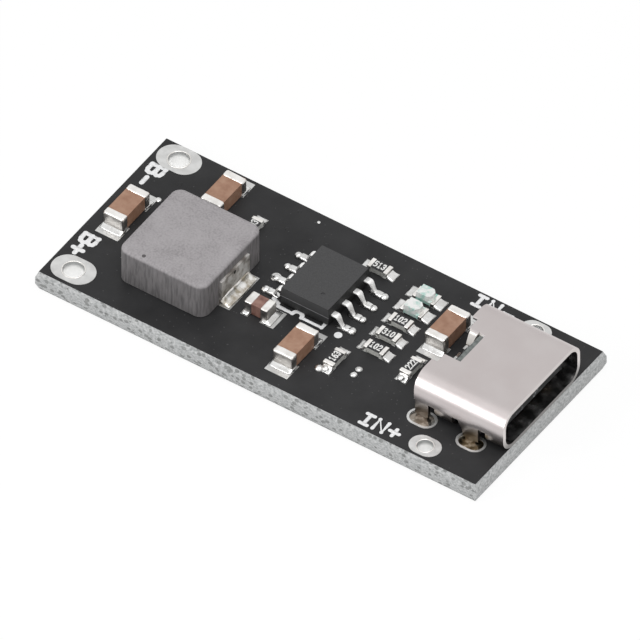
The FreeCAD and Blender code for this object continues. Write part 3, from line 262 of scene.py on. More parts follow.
def moulding_finish():
    """Black epoxy moulding: matt, with the 0.08 mm grain that a spark-cut mould leaves.

    The sides carry painted shade, darker towards the bottom, with a fine painted highlight along the parting
    line of the mould. The sides that the leads come out of are painted the deepest black, as painted shade.
    """
    material, tree, shader, place = start_material("black_epoxy_moulding", "#3F3F40", 0.62)
    grain = mottle(tree, place, 0.08 * MM, 2.0)
    colour = shade_between(tree, grain, [(0.3, "#39393A"), (0.7, "#444445")])
    direction = facing(tree)
    height = add_node(tree, "ShaderNodeSeparateXYZ", {"Vector": place}).outputs["Z"]
    rise = add_node(tree, "ShaderNodeMapRange", {
        "Value": height, "From Min": 1.7 * MM, "From Max": 3.15 * MM})
    # Painted shade on the sides, with a painted highlight along the mould's parting line.
    side = shade_between(tree, rise, [
        (0.3, "#202021"), (0.49, "#2A2A2B"), (0.51, "#858588"), (0.54, "#858588"), (0.56, "#39393A"),
        (0.9, "#3F3F40")])
    level = add_node(tree, "ShaderNodeMath", {0: direction["Z"]}, operation="ABSOLUTE")
    level = add_node(tree, "ShaderNodeMapRange", {"Value": level, "From Min": 0.25, "From Max": 0.6})
    colour = add_node(tree, "ShaderNodeMix", {0: level, 6: side, 7: colour}, data_type="RGBA").outputs[2]
    # Painted shade: the sides that the leads come out of are painted near black.
    endways = add_node(tree, "ShaderNodeMath", {0: direction["X"]}, operation="ABSOLUTE")
    lead_side_shade = add_node(tree, "ShaderNodeMapRange", {"Value": endways, "From Min": 0.3, "From Max": 0.6})
    colour = add_node(tree, "ShaderNodeMix", {
        0: lead_side_shade, 6: colour, 7: linear("#0C0C0D")}, data_type="RGBA").outputs[2]
    tree.links.new(colour, shader.inputs["Base Color"])
    raise_surface(tree, shader, grain, 0.012 * MM)
    return material


def ceramic_finish(name, deep, middle, pale):
    """Fired ceramic: smooth and a little waxy, with faint darker clouds 0.5 mm wide."""
    material, tree, shader, place = start_material(name, middle, 0.42)
    clouds = mottle(tree, place, 0.5 * MM, 2.0)
    colour = shade_between(tree, clouds, [(0.3, deep), (0.5, middle), (0.7, pale)])
    tree.links.new(colour, shader.inputs["Base Color"])
    raise_surface(tree, shader, mottle(tree, place, 0.15 * MM), 0.008 * MM)
    shader.inputs["Coat Weight"].default_value = 0.15
    shader.inputs["Coat Roughness"].default_value = 0.3
    return material


def plain_finish(name, dark, light, roughness, grain, depth):
    """A matt or satin finish whose colour varies a little with its grain."""
    material, tree, shader, place = start_material(name, light, roughness)
    clouds = mottle(tree, place, grain)
    tree.links.new(shade_between(tree, clouds, [(0.35, dark), (0.65, light)]), shader.inputs["Base Color"])
    raise_surface(tree, shader, clouds, depth)
    return material


def steel_finish():
    """Bright nickel-plated steel sheet: satin, with drawing lines 0.06 mm apart along the shell.

    Its inner face carries painted shade, with a few painted highlights. The side walls are shaded a little
    fuller than the solid's, as the folded sheet bulges there. The folded tab is painted paler, as a painted
    reflection, the rim is darker low down, and the legs and the foot of the walls carry a painted reflection
    of the dark board.
    """
    material, tree, shader, place = start_material("nickel_plated_shell", "#CCC5C4", 0.27, 1.0)
    lines = mottle(tree, place, 0.06 * MM, 2.0, (0.06, 1, 1))
    smudges = mottle(tree, place, 2.4 * MM)
    spot = add_node(tree, "ShaderNodeSeparateXYZ", {"Vector": place}).outputs
    lower = add_node(tree, "ShaderNodeMapRange", {
        "Value": spot["Z"], "From Min": 1.5 * MM, "From Max": 4.7 * MM})
    clean = shade_between(tree, smudges, [(0.35, "#CBC3C2"), (0.65, "#CFC8C7")])
    # Painted reflection of the dark board: darker and browner towards the foot of the shell.
    board_reflection_shade = shade_between(tree, lower, [(0.2, "#6A625B"), (0.33, "#A8A19C"), (0.44, "#D2CBC9")])
    outer = add_node(tree, "ShaderNodeMix", {
        0: 1.0, 6: clean, 7: board_reflection_shade}, data_type="RGBA", blend_type="DARKEN")
    middle = add_node(tree, "ShaderNodeVectorMath", {0: place, 1: SHELL_MIDDLE}, operation="SUBTRACT")
    across = add_node(tree, "ShaderNodeVectorMath", {0: middle, 1: (0, 1, 1)}, operation="MULTIPLY")
    across = add_node(tree, "ShaderNodeVectorMath", {0: across}, operation="ABSOLUTE")
    beyond = add_node(tree, "ShaderNodeVectorMath", {0: across, 1: SHELL_CORE}, operation="SUBTRACT")
    beyond = add_node(tree, "ShaderNodeVectorMath", {0: beyond, 1: (0, 0, 0)}, operation="MAXIMUM")
    depth = add_node(tree, "ShaderNodeVectorMath", {0: beyond}, operation="LENGTH").outputs["Value"]
    inside = add_node(tree, "ShaderNodeMath", {0: depth, 1: INNER_REACH}, operation="LESS_THAN")
    # Painted shade inside the shell, with painted highlights in patches.
    inner_shade_and_highlights = shade_between(tree, mottle(tree, place, 0.9 * MM, 4.0), [
        (0.45, "#5C5B5C"), (0.58, "#A3A2A3"), (0.66, "#F2F1F1")])
    colour = add_node(tree, "ShaderNodeMix", {0: inside, 6: outer.outputs[2], 7: inner_shade_and_highlights}, data_type="RGBA")
    # Painted reflection: the folded tab is painted pale and made less metallic.
    from_tab = add_node(tree, "ShaderNodeVectorMath", {0: place, 1: TAB_MIDDLE}, operation="DISTANCE")
    on_tab = add_node(tree, "ShaderNodeMath", {
        0: from_tab.outputs["Value"], 1: TAB_REACH}, operation="LESS_THAN")
    low = add_node(tree, "ShaderNodeMath", {0: spot["Z"], 1: TAB_TOP}, operation="LESS_THAN")
    on_tab = add_node(tree, "ShaderNodeMath", {0: on_tab, 1: low}, operation="MULTIPLY")
    colour = add_node(tree, "ShaderNodeMix", {
        0: on_tab, 6: colour.outputs[2], 7: linear("#EDE8E3")}, data_type="RGBA")
    on_rim = add_node(tree, "ShaderNodeMath", {0: spot["X"], 1: RIM_PLANE}, operation="GREATER_THAN")
    rim = shade_between(tree, lower, [(0.15, "#7D7A78"), (0.5, "#D9D3D1")])
    colour = add_node(tree, "ShaderNodeMix", {0: on_rim, 6: colour.outputs[2], 7: rim}, data_type="RGBA")
    tree.links.new(colour.outputs[2], shader.inputs["Base Color"])
    tab_metallic = add_node(tree, "ShaderNodeMapRange", {"Value": on_tab, "To Min": 1.0, "To Max": 0.25})
    tree.links.new(tab_metallic.outputs[0], shader.inputs["Metallic"])
    spread = add_node(tree, "ShaderNodeMapRange", {"Value": lines, "To Min": 0.3, "To Max": 0.36})
    tree.links.new(spread.outputs[0], shader.inputs["Roughness"])
    steep = add_node(tree, "ShaderNodeMath", {0: facing(tree)["Z"]}, operation="ABSOLUTE")
    steep = add_node(tree, "ShaderNodeMath", {0: 1.0, 1: steep}, operation="SUBTRACT")
    fuller = add_node(tree, "ShaderNodeMapRange", {
        "Value": spot["Z"], "From Min": 2.75 * MM, "From Max": 4.3 * MM, "To Min": -0.05, "To Max": 0.62})
    tilt = add_node(tree, "ShaderNodeMath", {0: fuller, 1: steep}, operation="MULTIPLY")
    tilt = add_node(tree, "ShaderNodeCombineXYZ", {"Z": tilt})
    normal = add_node(tree, "ShaderNodeTexCoord").outputs["Normal"]
    tipped = add_node(tree, "ShaderNodeVectorMath", {0: normal, 1: tilt}, operation="ADD")
    tipped = add_node(tree, "ShaderNodeVectorMath", {0: tipped}, operation="NORMALIZE")
    bump = add_node(tree, "ShaderNodeBump", {"Height": lines, "Distance": 0.0008 * MM, "Normal": tipped})
    tree.links.new(bump.outputs[0], shader.inputs["Normal"])
    return material


def nylon_finish():
    """Matt black moulded nylon. It is painted grey where it lies in the roof's notch, as painted light.

    A few pale marks on its tongue are painted highlights.
    """
    material, tree, shader, place = start_material("black_nylon", "#1A1A1B", 0.5)
    spot = add_node(tree, "ShaderNodeSeparateXYZ", {"Vector": place}).outputs
    # Painted light: the nylon in the notch is painted grey.
    high = add_node(tree, "ShaderNodeMath", {0: spot["Z"], 1: NOTCH_FLOOR}, operation="GREATER_THAN")
    rear = add_node(tree, "ShaderNodeMath", {0: spot["X"], 1: NOTCH_END}, operation="LESS_THAN")
    lighter_patches = add_node(tree, "ShaderNodeMath", {0: high, 1: rear}, operation="MULTIPLY")
    grey = shade_between(tree, mottle(tree, place, 0.3 * MM), [(0.35, "#6A6F6E"), (0.65, "#858A88")])
    # Painted highlights in pale patches.
    painted_highlights = shade_between(tree, mottle(tree, place, 0.5 * MM, 4.0), [
        (0.55, "#0F0F10"), (0.64, "#5A5B5D"), (0.7, "#B5B7BA")])
    colour = add_node(tree, "ShaderNodeMix", {0: lighter_patches, 6: painted_highlights, 7: grey}, data_type="RGBA")
    tree.links.new(colour.outputs[2], shader.inputs["Base Color"])
    shader.inputs["Specular IOR Level"].default_value = 0.2
    return material


def flux_finish():
    """Solder under a skin of flux: olive-brown in the fore slots, pale and nearly bare in the rear ones."""
    material, tree, shader, place = start_material("solder_under_flux", "#8C7A5A", 0.28, 1.0)
    clouds = mottle(tree, place, 0.6 * MM, 2.0)
    browned = shade_between(tree, clouds, [(0.36, "#4A4132"), (0.5, "#857860"), (0.62, "#D8D0BE")])
    bared = shade_between(tree, clouds, [(0.36, "#9A9186"), (0.5, "#CFCAC2"), (0.62, "#F7F6F3")])
    forward = add_node(tree, "ShaderNodeSeparateXYZ", {"Vector": place}).outputs["X"]
    fore = add_node(tree, "ShaderNodeMath", {0: forward, 1: BETWEEN_LEGS}, operation="GREATER_THAN")
    colour = add_node(tree, "ShaderNodeMix", {0: fore, 6: bared, 7: browned}, data_type="RGBA")
    tree.links.new(colour.outputs[2], shader.inputs["Base Color"])
    raise_surface(tree, shader, clouds, 0.03 * MM)
    return material


def resin_finish():
    """Milky lamp resin: nearly white, with green patches 0.35 mm wide where the board below tints it."""
    material, tree, shader, place = start_material("clear_lamp_resin", "#FAFBFA", 0.25)
    haze = mottle(tree, place, 0.35 * MM)
    tree.links.new(shade_between(tree, haze, [(0.33, "#BFE3DA"), (0.45, "#EEF4F1"), (0.6, "#FFFFFE")]),
                   shader.inputs["Base Color"])
    shader.inputs["Transmission Weight"].default_value = 0.05
    shader.inputs["IOR"].default_value = 1.5
    return material


FINISHES = {
    "board_mask": board_finish(),
    "tinned_copper": tinned_finish(),
    # Tin solder that has flowed and set: bright, with soft waves
    "solder": metal("bright_solder", "#EFEFEE", "#D8D7D5", 0.26, 0.5 * MM, 0.006 * MM),
    "pressed_powder": pressed_powder_finish(),
    # Copper wire under clear enamel: red-brown and fairly glossy
    "copper_wire": metal("enamelled_copper_wire", "#B87346", "#8F5330", 0.3, 0.3 * MM, 0.01 * MM),
    "tinned_clip": clip_finish(),
    "moulding_compound": moulding_finish(),
    # Stamped copper strip under matt tin: nearly white and satin
    "tinned_lead_frame": metal("tinned_chip_leads", "#FFFFFE", "#F2F1F0", 0.5, 0.3 * MM, 0.004 * MM),
    "ceramic_dark": ceramic_finish("grey_brown_ceramic", "#6E4A42", "#8F6A5F", "#A07C70"),
    "ceramic_tan": ceramic_finish("tan_ceramic", "#9C745D", "#A78069", "#B08B74"),
    "tinned_ends": ends_finish(),
    # Snapped alumina: off-white and dry, with a fine crystal grain
    "alumina": plain_finish("white_alumina", "#C4C4BF", "#E2E2DD", 0.5, 0.15 * MM, 0.01 * MM),
    # Screened glass over the resistor: black, with a soft sheen
    "dark_glaze": plain_finish("dark_resistor_glaze", "#1A1A1C", "#232325", 0.35, 0.2 * MM, 0.01 * MM),
    # Thin glass-fibre board: whitish, and green where the resin is thicker
    "lamp_board": plain_finish("pale_green_lamp_board", "#8FD0C3", "#E3F0EC", 0.45, 0.45 * MM, 0.005 * MM),
    "clear_resin": resin_finish(),
    "shell_steel": steel_finish(),
    # Stamped steel sheet inside the tongue: grey and satin
    "plate_steel": metal("receptacle_plate", "#B5AFAD", "#8F8987", 0.35, 0.6 * MM, 0.01 * MM),
    "black_nylon": nylon_finish(),
    # Gold-plated bronze springs: yellow, darker where the plating is thin
    "gold_contacts": metal("gold_plated_contacts", "#D9B36A", "#A87F3C", 0.25, 0.3 * MM, 0.01 * MM),
}
# Screened epoxy ink: white and dry, with hardly any grain
WHITE_INK = plain_finish("white_board_ink", "#F0F1F2", "#FDFDFE", 0.6, 0.12 * MM, 0.002 * MM)
CHIP_INK = plain_finish("white_chip_ink", "#F0F0EE", "#FCFCFA", 0.6, 0.08 * MM, 0.001 * MM)
FLUXED_SOLDER = flux_finish()
# Solder that a thin skin of flux has browned in patches
CLIP_SOLDER = metal("solder_with_thin_flux", "#F4F3F0", "#A59C8C", 0.3, 0.5 * MM, 0.03 * MM)

for part in frame["record"]["subparts"]:
    nodes[part["node"]].data.materials.clear()
    finish = FLUXED_SOLDER if part["node"] == "usb_leg_solder" else FINISHES[part["material_slot"]]
    nodes[part["node"]].data.materials.append(finish)


# Shapes


def keep_piece(name, mesh, finish, replaced=()):
    """Turns finished mesh data into a piece on the board."""
    piece = bpy.data.objects.new(name, mesh)
    bpy.context.scene.collection.objects.link(piece)
    mesh.materials.clear()
    mesh.materials.append(finish)
    for face in mesh.polygons:
        face.material_index = 0
    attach(piece, "root")
    if replaced:
        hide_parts(*replaced)


def keep_shape(name, shape, finish, replaced=()):
    """Turns a finished bmesh into a smooth piece on the board, with its faces outwards."""
    bmesh.ops.remove_doubles(shape, verts=shape.verts, dist=1e-7)
    bmesh.ops.recalc_face_normals(shape, faces=shape.faces)
    mesh = bpy.data.meshes.new(name)
    shape.to_mesh(mesh)
    shape.free()
    for face in mesh.polygons:
        face.use_smooth = True
    keep_piece(name, mesh, finish, replaced)


def solid_boxes(node):
    """The lowest and highest corner of each separate solid in a CAD node."""
    shape = bmesh.new()
    shape.from_mesh(nodes[node].data)
    bmesh.ops.remove_doubles(shape, verts=shape.verts, dist=1e-7)
    waiting, boxes = set(shape.verts), []
    while waiting:
        edge_of_search = [waiting.pop()]
        low, high = edge_of_search[0].co.copy(), edge_of_search[0].co.copy()
        while edge_of_search:
            vertex = edge_of_search.pop()
            low, high = Vector(map(min, low, vertex.co)), Vector(map(max, high, vertex.co))
            for edge in vertex.link_edges:
                other = edge.other_vert(vertex)
                if other in waiting:
                    waiting.remove(other)
                    edge_of_search.append(other)
        boxes.append((low, high))
    shape.free()
    return sorted(boxes, key=lambda pair: tuple(round(c, 6) for c in pair[0]))


def distance_to_box(x, y, low, high):
    """How far a point of the board is from a box, seen from above."""
    return math.hypot(max(low.x - x, 0, x - high.x), max(low.y - y, 0, y - high.y))


def solder_pool(shape, low, high, walls, base, climb, reach, seed, cells=16, round_off=0.2):
    """A pool of set solder on a land: thin at its rim, drawn up the metal that it wets in a hollow curve."""
    grid = {}
    for i in range(cells + 1):
        for j in range(cells + 1):
            u, v = 2 * i / cells - 1, 2 * j / cells - 1
            x = (low.x + high.x) / 2 + u * math.sqrt(1 - round_off * v * v / 2) * (high.x - low.x) / 2
            y = (low.y + high.y) / 2 + v * math.sqrt(1 - round_off * u * u / 2) * (high.y - low.y) / 2
            rim = max(0.0, (1 - u ** 6) * (1 - v ** 6)) ** 0.5
            near = min(distance_to_box(x, y, *wall) for wall in walls)
            wave = noise.noise(Vector((x, y, seed * MM)) / (0.35 * MM))
            height = rim * (base * (1 + 0.15 * wave) + climb * (1 + 0.1 * wave) * math.exp(-near / reach))
            top = shape.verts.new((x, y, low.z + height))
            on_rim = i in (0, cells) or j in (0, cells)
            foot = top if on_rim else shape.verts.new((x, y, low.z))
            grid[i, j] = top, foot
    for i in range(cells):
        for j in range(cells):
            corners = [grid[i, j], grid[i + 1, j], grid[i + 1, j + 1], grid[i, j + 1]]
            shape.faces.new([c[0] for c in corners])
            shape.faces.new([c[1] for c in reversed(corners)])


# Geometry nodes


def new_tree(name, sizes):
    """A geometry tree with a mesh in, a mesh out and named sizes."""
    tree = bpy.data.node_groups.new(name, "GeometryNodeTree")
    tree.interface.new_socket("Geometry", in_out="INPUT", socket_type="NodeSocketGeometry")
    tree.interface.new_socket("Geometry", in_out="OUTPUT", socket_type="NodeSocketGeometry")
    for size, default in sizes.items():
        kind = {int: "NodeSocketInt", float: "NodeSocketFloat"}.get(type(default), "NodeSocketVector")
        tree.interface.new_socket(size, in_out="INPUT", socket_type=kind).default_value = default
    tree.interface.new_socket("Material", in_out="INPUT", socket_type="NodeSocketMaterial")
    return tree, tree.nodes.new("NodeGroupInput").outputs


def end_tree(tree, given, geometry):
    """Makes what the tree repeats real, and gives it its material."""
    real = add_node(tree, "GeometryNodeRealizeInstances", {"Geometry": geometry})
    coloured = add_node(tree, "GeometryNodeSetMaterial", {"Geometry": real, "Material": given["Material"]})
    add_node(tree, "NodeGroupOutput", {"Geometry": coloured})


def grow(name, tree, mesh, sizes, finish):
    """Runs a geometry tree on mesh data, and gives back a plain mesh."""
    carrier = bpy.data.objects.new(name, mesh)
    bpy.context.scene.collection.objects.link(carrier)
    modifier = carrier.modifiers.new(name, "NODES")
    modifier.node_group = tree
    sockets = {s.name: s.identifier for s in tree.interface.items_tree if s.in_out == "INPUT"}
    for size, value in {**sizes, "Material": finish}.items():
        modifier[sockets[size]] = value
    graph = bpy.context.evaluated_depsgraph_get()
    made = bpy.data.meshes.new_from_object(carrier.evaluated_get(graph))
    bpy.data.objects.remove(carrier)
    made.name = name
    return made


def stroke_tree():
    """Printed strokes: a flat ribbon along every edge, and a round dot at every corner and end."""
    tree, given = new_tree("printed strokes", {"Width": 0.3 * MM, "Thickness": INK_THICKNESS})
    path = add_node(tree, "GeometryNodeMeshToCurve", {"Mesh": given["Geometry"]})
    flat = add_node(tree, "GeometryNodeSetCurveNormal", {"Curve": path}, mode="Z_UP")
    section = add_node(tree, "GeometryNodeCurvePrimitiveQuadrilateral", {
        "Width": given["Width"], "Height": given["Thickness"]})
    ribbon = add_node(tree, "GeometryNodeCurveToMesh", {
        "Curve": flat, "Profile Curve": section, "Fill Caps": True})
    half = add_node(tree, "ShaderNodeMath", {0: given["Width"], 1: 0.5}, operation="MULTIPLY")
    proud = add_node(tree, "ShaderNodeMath", {0: given["Thickness"], 1: 1.3}, operation="MULTIPLY")
    dot = add_node(tree, "GeometryNodeMeshCylinder", {"Vertices": 20, "Radius": half, "Depth": proud})
    dots = add_node(tree, "GeometryNodeInstanceOnPoints", {
        "Points": given["Geometry"], "Instance": dot.outputs["Mesh"]})
    both = add_node(tree, "GeometryNodeJoinGeometry")
    tree.links.new(dots.outputs[0], both.inputs[0])
    tree.links.new(ribbon.outputs[0], both.inputs[0])
    end_tree(tree, given, both)
    return tree


def cap_tree():
    """Soft metal caps of one size on every point: rounded blocks, with small lumps of their own."""
    tree, given = new_tree("soft end caps", {"Size": (0.6 * MM, 1.6 * MM, 1.2 * MM), "Round": 0.1 * MM,
                                             "Lump": 0.02 * MM, "Lump Size": 0.3 * MM})
    block = add_node(tree, "GeometryNodeMeshCube", {
        "Size": given["Size"], "Vertices X": 17, "Vertices Y": 33, "Vertices Z": 25})
    place = add_node(tree, "GeometryNodeInputPosition")
    half = add_node(tree, "ShaderNodeVectorMath", {0: given["Size"], "Scale": 0.5}, operation="SCALE")
    core = add_node(tree, "ShaderNodeVectorMath", {0: half, 1: given["Round"]}, operation="SUBTRACT")
    minus = add_node(tree, "ShaderNodeVectorMath", {0: core, "Scale": -1.0}, operation="SCALE")
    under = add_node(tree, "ShaderNodeVectorMath", {0: place, 1: core}, operation="MINIMUM")
    inner = add_node(tree, "ShaderNodeVectorMath", {0: under, 1: minus}, operation="MAXIMUM")
    outward = add_node(tree, "ShaderNodeVectorMath", {0: place, 1: inner}, operation="SUBTRACT")
    unit = add_node(tree, "ShaderNodeVectorMath", {0: outward}, operation="NORMALIZE")
    pushed = add_node(tree, "ShaderNodeVectorMath", {
        0: unit, 1: given["Round"], 2: inner}, operation="MULTIPLY_ADD")
    rounded = add_node(tree, "GeometryNodeSetPosition", {
        "Geometry": block.outputs["Mesh"], "Position": pushed})
    turn = add_node(tree, "GeometryNodeInputNamedAttribute", {"Name": "turn"}, data_type="FLOAT_VECTOR")
    caps = add_node(tree, "GeometryNodeInstanceOnPoints", {
        "Points": given["Geometry"], "Instance": rounded, "Rotation": turn})
    loose = add_node(tree, "GeometryNodeRealizeInstances", {"Geometry": caps})
    each = add_node(tree, "ShaderNodeMath", {0: 1.0, 1: given["Lump Size"]}, operation="DIVIDE")
    lumps = add_node(tree, "ShaderNodeTexNoise", {"Vector": place, "Scale": each, "Detail": 1.0})
    centred = add_node(tree, "ShaderNodeMath", {0: lumps.outputs["Fac"], 1: 0.5}, operation="SUBTRACT")
    deep = add_node(tree, "ShaderNodeMath", {0: centred, 1: given["Lump"]}, operation="MULTIPLY")
    away = add_node(tree, "GeometryNodeInputNormal")
    offset = add_node(tree, "ShaderNodeVectorMath", {0: away, "Scale": deep}, operation="SCALE")
    lumpy = add_node(tree, "GeometryNodeSetPosition", {"Geometry": loose, "Offset": offset})
    smooth = add_node(tree, "GeometryNodeSetShadeSmooth", {"Geometry": lumpy})
    end_tree(tree, given, smooth)
    return tree


def bead_tree():
    """Round beads of solder or lacquer on every point, each a little different."""
    tree, given = new_tree("beads", {"Radius": 0.2 * MM, "Flat": 0.5, "Spread": 0.25, "Seed": 4})
    ball = add_node(tree, "GeometryNodeMeshUVSphere", {
        "Segments": 24, "Rings": 12, "Radius": given["Radius"]})
    least = add_node(tree, "ShaderNodeMath", {0: 1.0, 1: given["Spread"]}, operation="SUBTRACT")
    most = add_node(tree, "ShaderNodeMath", {0: 1.0, 1: given["Spread"]}, operation="ADD")
    own = add_node(tree, "FunctionNodeRandomValue", {"Seed": given["Seed"]}, data_type="FLOAT")
    tree.links.new(least.outputs[0], own.inputs[2])
    tree.links.new(most.outputs[0], own.inputs[3])
    flat = add_node(tree, "ShaderNodeMath", {0: own.outputs[1], 1: given["Flat"]}, operation="MULTIPLY")
    scale = add_node(tree, "ShaderNodeCombineXYZ", {"X": own.outputs[1], "Y": own.outputs[1], "Z": flat})
    beads = add_node(tree, "GeometryNodeInstanceOnPoints", {
        "Points": given["Geometry"], "Instance": ball.outputs["Mesh"], "Scale": scale})
    smooth = add_node(tree, "GeometryNodeSetShadeSmooth", {"Geometry": beads})
    end_tree(tree, given, smooth)
    return tree


def points_mesh(name, points, edges=(), turns=None):
    """Mesh data with only points and edges, and an own turn for each point."""
    mesh = bpy.data.meshes.new(name)
    mesh.from_pydata([tuple(p) for p in points], list(edges), [])
    if turns:
        attribute = mesh.attributes.new("turn", "FLOAT_VECTOR", "POINT")
        attribute.data.foreach_set("vector", [c for turn in turns for c in (0.0, 0.0, turn)])
    return mesh


STROKES, CAPS, BEADS = stroke_tree(), cap_tree(), bead_tree()


# White print on the board and on the resistors

# Each letter's strokes, as corners in a square that is 1 wide and 1 high.
GLYPHS = {
    "B": [[(0, 0), (0, 1), (0.6, 1), (0.86, 0.94), (0.96, 0.77), (0.86, 0.6), (0.65, 0.53)],
          [(0, 0.53), (0.65, 0.53), (0.92, 0.45), (1, 0.27), (0.92, 0.08), (0.65, 0), (0, 0)]],
    "I": [[(0, 1), (1, 1)], [(0.5, 1), (0.5, 0)], [(0, 0), (1, 0)]],
    "N": [[(0, 0), (0, 1), (1, 0), (1, 1)]],
    "+": [[(0, 0.5), (1, 0.5)], [(0.5, 0.04), (0.5, 0.96)]],
    "-": [[(0, 0.5), (1, 0.5)]],
    "0": [[(0.25, 0), (0.75, 0), (1, 0.25), (1, 0.75), (0.75, 1), (0.25, 1), (0, 0.75), (0, 0.25),
           (0.25, 0)]],
    "1": [[(0.15, 0.8), (0.5, 1), (0.5, 0)], [(0.15, 0), (0.85, 0)]],
    "2": [[(0, 0.8), (0.25, 1), (0.75, 1), (1, 0.8), (1, 0.6), (0, 0), (1, 0)]],
    "3": [[(0, 0.88), (0.25, 1), (0.8, 1), (1, 0.78), (0.8, 0.53), (0.4, 0.53)],
          [(0.8, 0.53), (1, 0.27), (0.8, 0), (0.25, 0), (0, 0.12)]],
    "4": [[(0.8, 0), (0.8, 1), (0, 0.3), (1, 0.3)]],
    "5": [[(0.95, 1), (0.1, 1), (0.05, 0.55), (0.75, 0.6), (1, 0.4), (1, 0.2), (0.75, 0), (0.05, 0)]],
    "6": [[(0.9, 1), (0.3, 0.9), (0, 0.45), (0, 0.2), (0.25, 0), (0.75, 0), (1, 0.2), (1, 0.4), (0.75, 0.55),
           (0.05, 0.45)]],
    "7": [[(0, 1), (1, 1), (0.4, 0)]],
}


def write(strokes, text, start, along, up, width, height, pitch, z):
    """Adds a word's strokes: start is the foot of its first letter in mm, and along and up are directions."""
    for number, letter in enumerate(text):
        narrow = 0.8 if letter == "I" else 1.0
        for line in GLYPHS[letter]:
            corners = []
            for across, high in line:
                a = number * pitch + (0.5 + (across - 0.5) * narrow) * width
                h = high * height if letter not in "+-" else (0.5 + (high - 0.5) * width / height) * height
                corners.append((start[0] + along[0] * a + up[0] * h, start[1] + along[1] * a + up[1] * h, z))
            strokes.append(corners)


def print_strokes(name, strokes, width, finish):
    """One piece of print from lines of points in mm.

    Each line and each point is a hair above the last, because faces that lie in one plane would shade black.
    """
    points, edges = [], []
    for number, line in enumerate(strokes):
        first = len(points)
        points += [Vector((x, y, z + number % 5 * 0.006 + step % 5 * 0.0012)) * MM
                   for step, (x, y, z) in enumerate(line)]
        edges += [(first + i, first + i + 1) for i in range(len(line) - 1)]
    mesh = points_mesh(name, points, edges)
    made = grow(name, STROKES, mesh, {"Width": width, "Thickness": INK_THICKNESS}, finish)
    keep_piece(name, made, finish)


# Sizes and places of the print are in mm.
INK_Z, MARK_Z = 1.605, 2.1
labels = []
write(labels, "B", (-16.8, 4.965), (0, -1), (1, 0), 0.8, 1.07, 1.0, INK_Z)
write(labels, "-", (-16.93, 3.72), (0, -1), (1, 0), 0.62, 1.07, 1.0, INK_Z)
write(labels, "B", (-16.805, -2.805), (0, -1), (1, 0), 0.8, 1.07, 1.0, INK_Z)
write(labels, "+", (-16.93, -3.88), (0, -1), (1, 0), 0.82, 1.07, 1.0, INK_Z)
print_strokes("battery_labels", labels, 0.34 * MM, WHITE_INK)
labels = []
write(labels, "IN+", (7.8, -7.0), (1, 0), (0, 1), 0.72, 0.96, 1.08, INK_Z)
write(labels, "IN-", (7.74, 6.16), (1, 0), (0, 1), 0.72, 0.96, 1.12, INK_Z)
print_strokes("input_labels", labels, 0.27 * MM, WHITE_INK)

# The outline is broken by a half-round notch 0.72 mm wide, which shows the chip's first end.
notch = [(-1.06 + 0.36 * math.cos(a), -1.25 + 0.36 * math.sin(a), INK_Z)
         for a in [math.pi * (1 - k / 10) for k in range(11)]]
chip_outline = [
    [(-3.2, -0.78, INK_Z), (-2.72, -1.0, INK_Z)],
    [(-2.56, -1.22, INK_Z), *notch, (0.9, -1.25, INK_Z), (0.92, -0.72, INK_Z)],
]
print_strokes("chip_outline_print", chip_outline, 0.3 * MM, WHITE_INK)
print_strokes("first_pin_dot", [[(2.19, -1.19, INK_Z)]], 0.56 * MM, WHITE_INK)

marks = []
for order, number in enumerate(("102", "310", "102", "513", "222", "163", "103"), 1):
    low, high = (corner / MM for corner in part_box(f"resistor_{order}_core"))
    middle = (low + high) / 2
    if high.x - low.x > high.y - low.y:
        along, up = (1, 0), (0, 1)
    else:
        along, up = (0, 1), (-1, 0)
    digit, tall, pitch = 0.18, 0.44, 0.3
    reach = (pitch * 2 + digit) / 2
    start = (middle.x - along[0] * reach - up[0] * tall / 2, middle.y - along[1] * reach - up[1] * tall / 2)
    write(marks, number, start, along, up, digit, tall, pitch, MARK_Z)
print_strokes("resistor_print", marks, 0.1 * MM, CHIP_INK)


# Soft ends on the chips

def end_caps(name, names, rounding, lump, lump_size):
    """Soft caps in place of the sharp ones on chips of one kind.

    Each is longer inwards by most of its rounding, so that its flat top still covers the whole end.
    """
    centres, turns, size = [], [], None
    for node_name in names:
        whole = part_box(node_name)
        along_x = whole[1].x - whole[0].x > whole[1].y - whole[0].y
        for low, high in solid_boxes(node_name):
            inward = ((whole[0] + whole[1]) / 2 - (low + high) / 2).normalized()
            centres.append((low + high) / 2 + inward * 0.4 * rounding)
            turns.append(0.0 if along_x else math.pi / 2)
            edge = high - low
            size = (edge.x, edge.y, edge.z) if along_x else (edge.y, edge.x, edge.z)
            size = (size[0] + 0.8 * rounding, *size[1:])
    mesh = points_mesh(name, centres, turns=turns)
    values = {"Size": size, "Round": rounding, "Lump": lump, "Lump Size": lump_size}
    made = grow(name, CAPS, mesh, values, FINISHES["tinned_ends"])
    keep_piece(name, made, FINISHES["tinned_ends"], names)


for name, names, rounding, lump, lump_size in (
        ("capacitor_caps", [f"capacitor_{i}_ends" for i in range(1, 5)], 0.15, 0.05, 0.6),
        ("bypass_caps", ["capacitor_5_ends"], 0.1, 0.04, 0.3),
        ("resistor_caps", [f"resistor_{i}_ends" for i in range(1, 8)], 0.06, 0.05, 0.2),
        ("lamp_caps", ["lamp_1_ends", "lamp_2_ends"], 0.04, 0.03, 0.15)):
    end_caps(name, names, rounding * MM, lump * MM, lump_size * MM)


# Solder

def nearby(boxes, low, high, gap):
    """The boxes that cover part of a land or come within a gap of it, seen from above."""
    return [(l, h) for l, h in boxes if l.x < high.x + gap and h.x > low.x - gap
            and l.y < high.y + gap and h.y > low.y - gap]


chip_walls = [box for node_name in nodes if node_name.endswith("_ends") for box in solid_boxes(node_name)]
TALL_CHIP = 0.8 * MM
TALL_MARGIN = 0.4 * MM

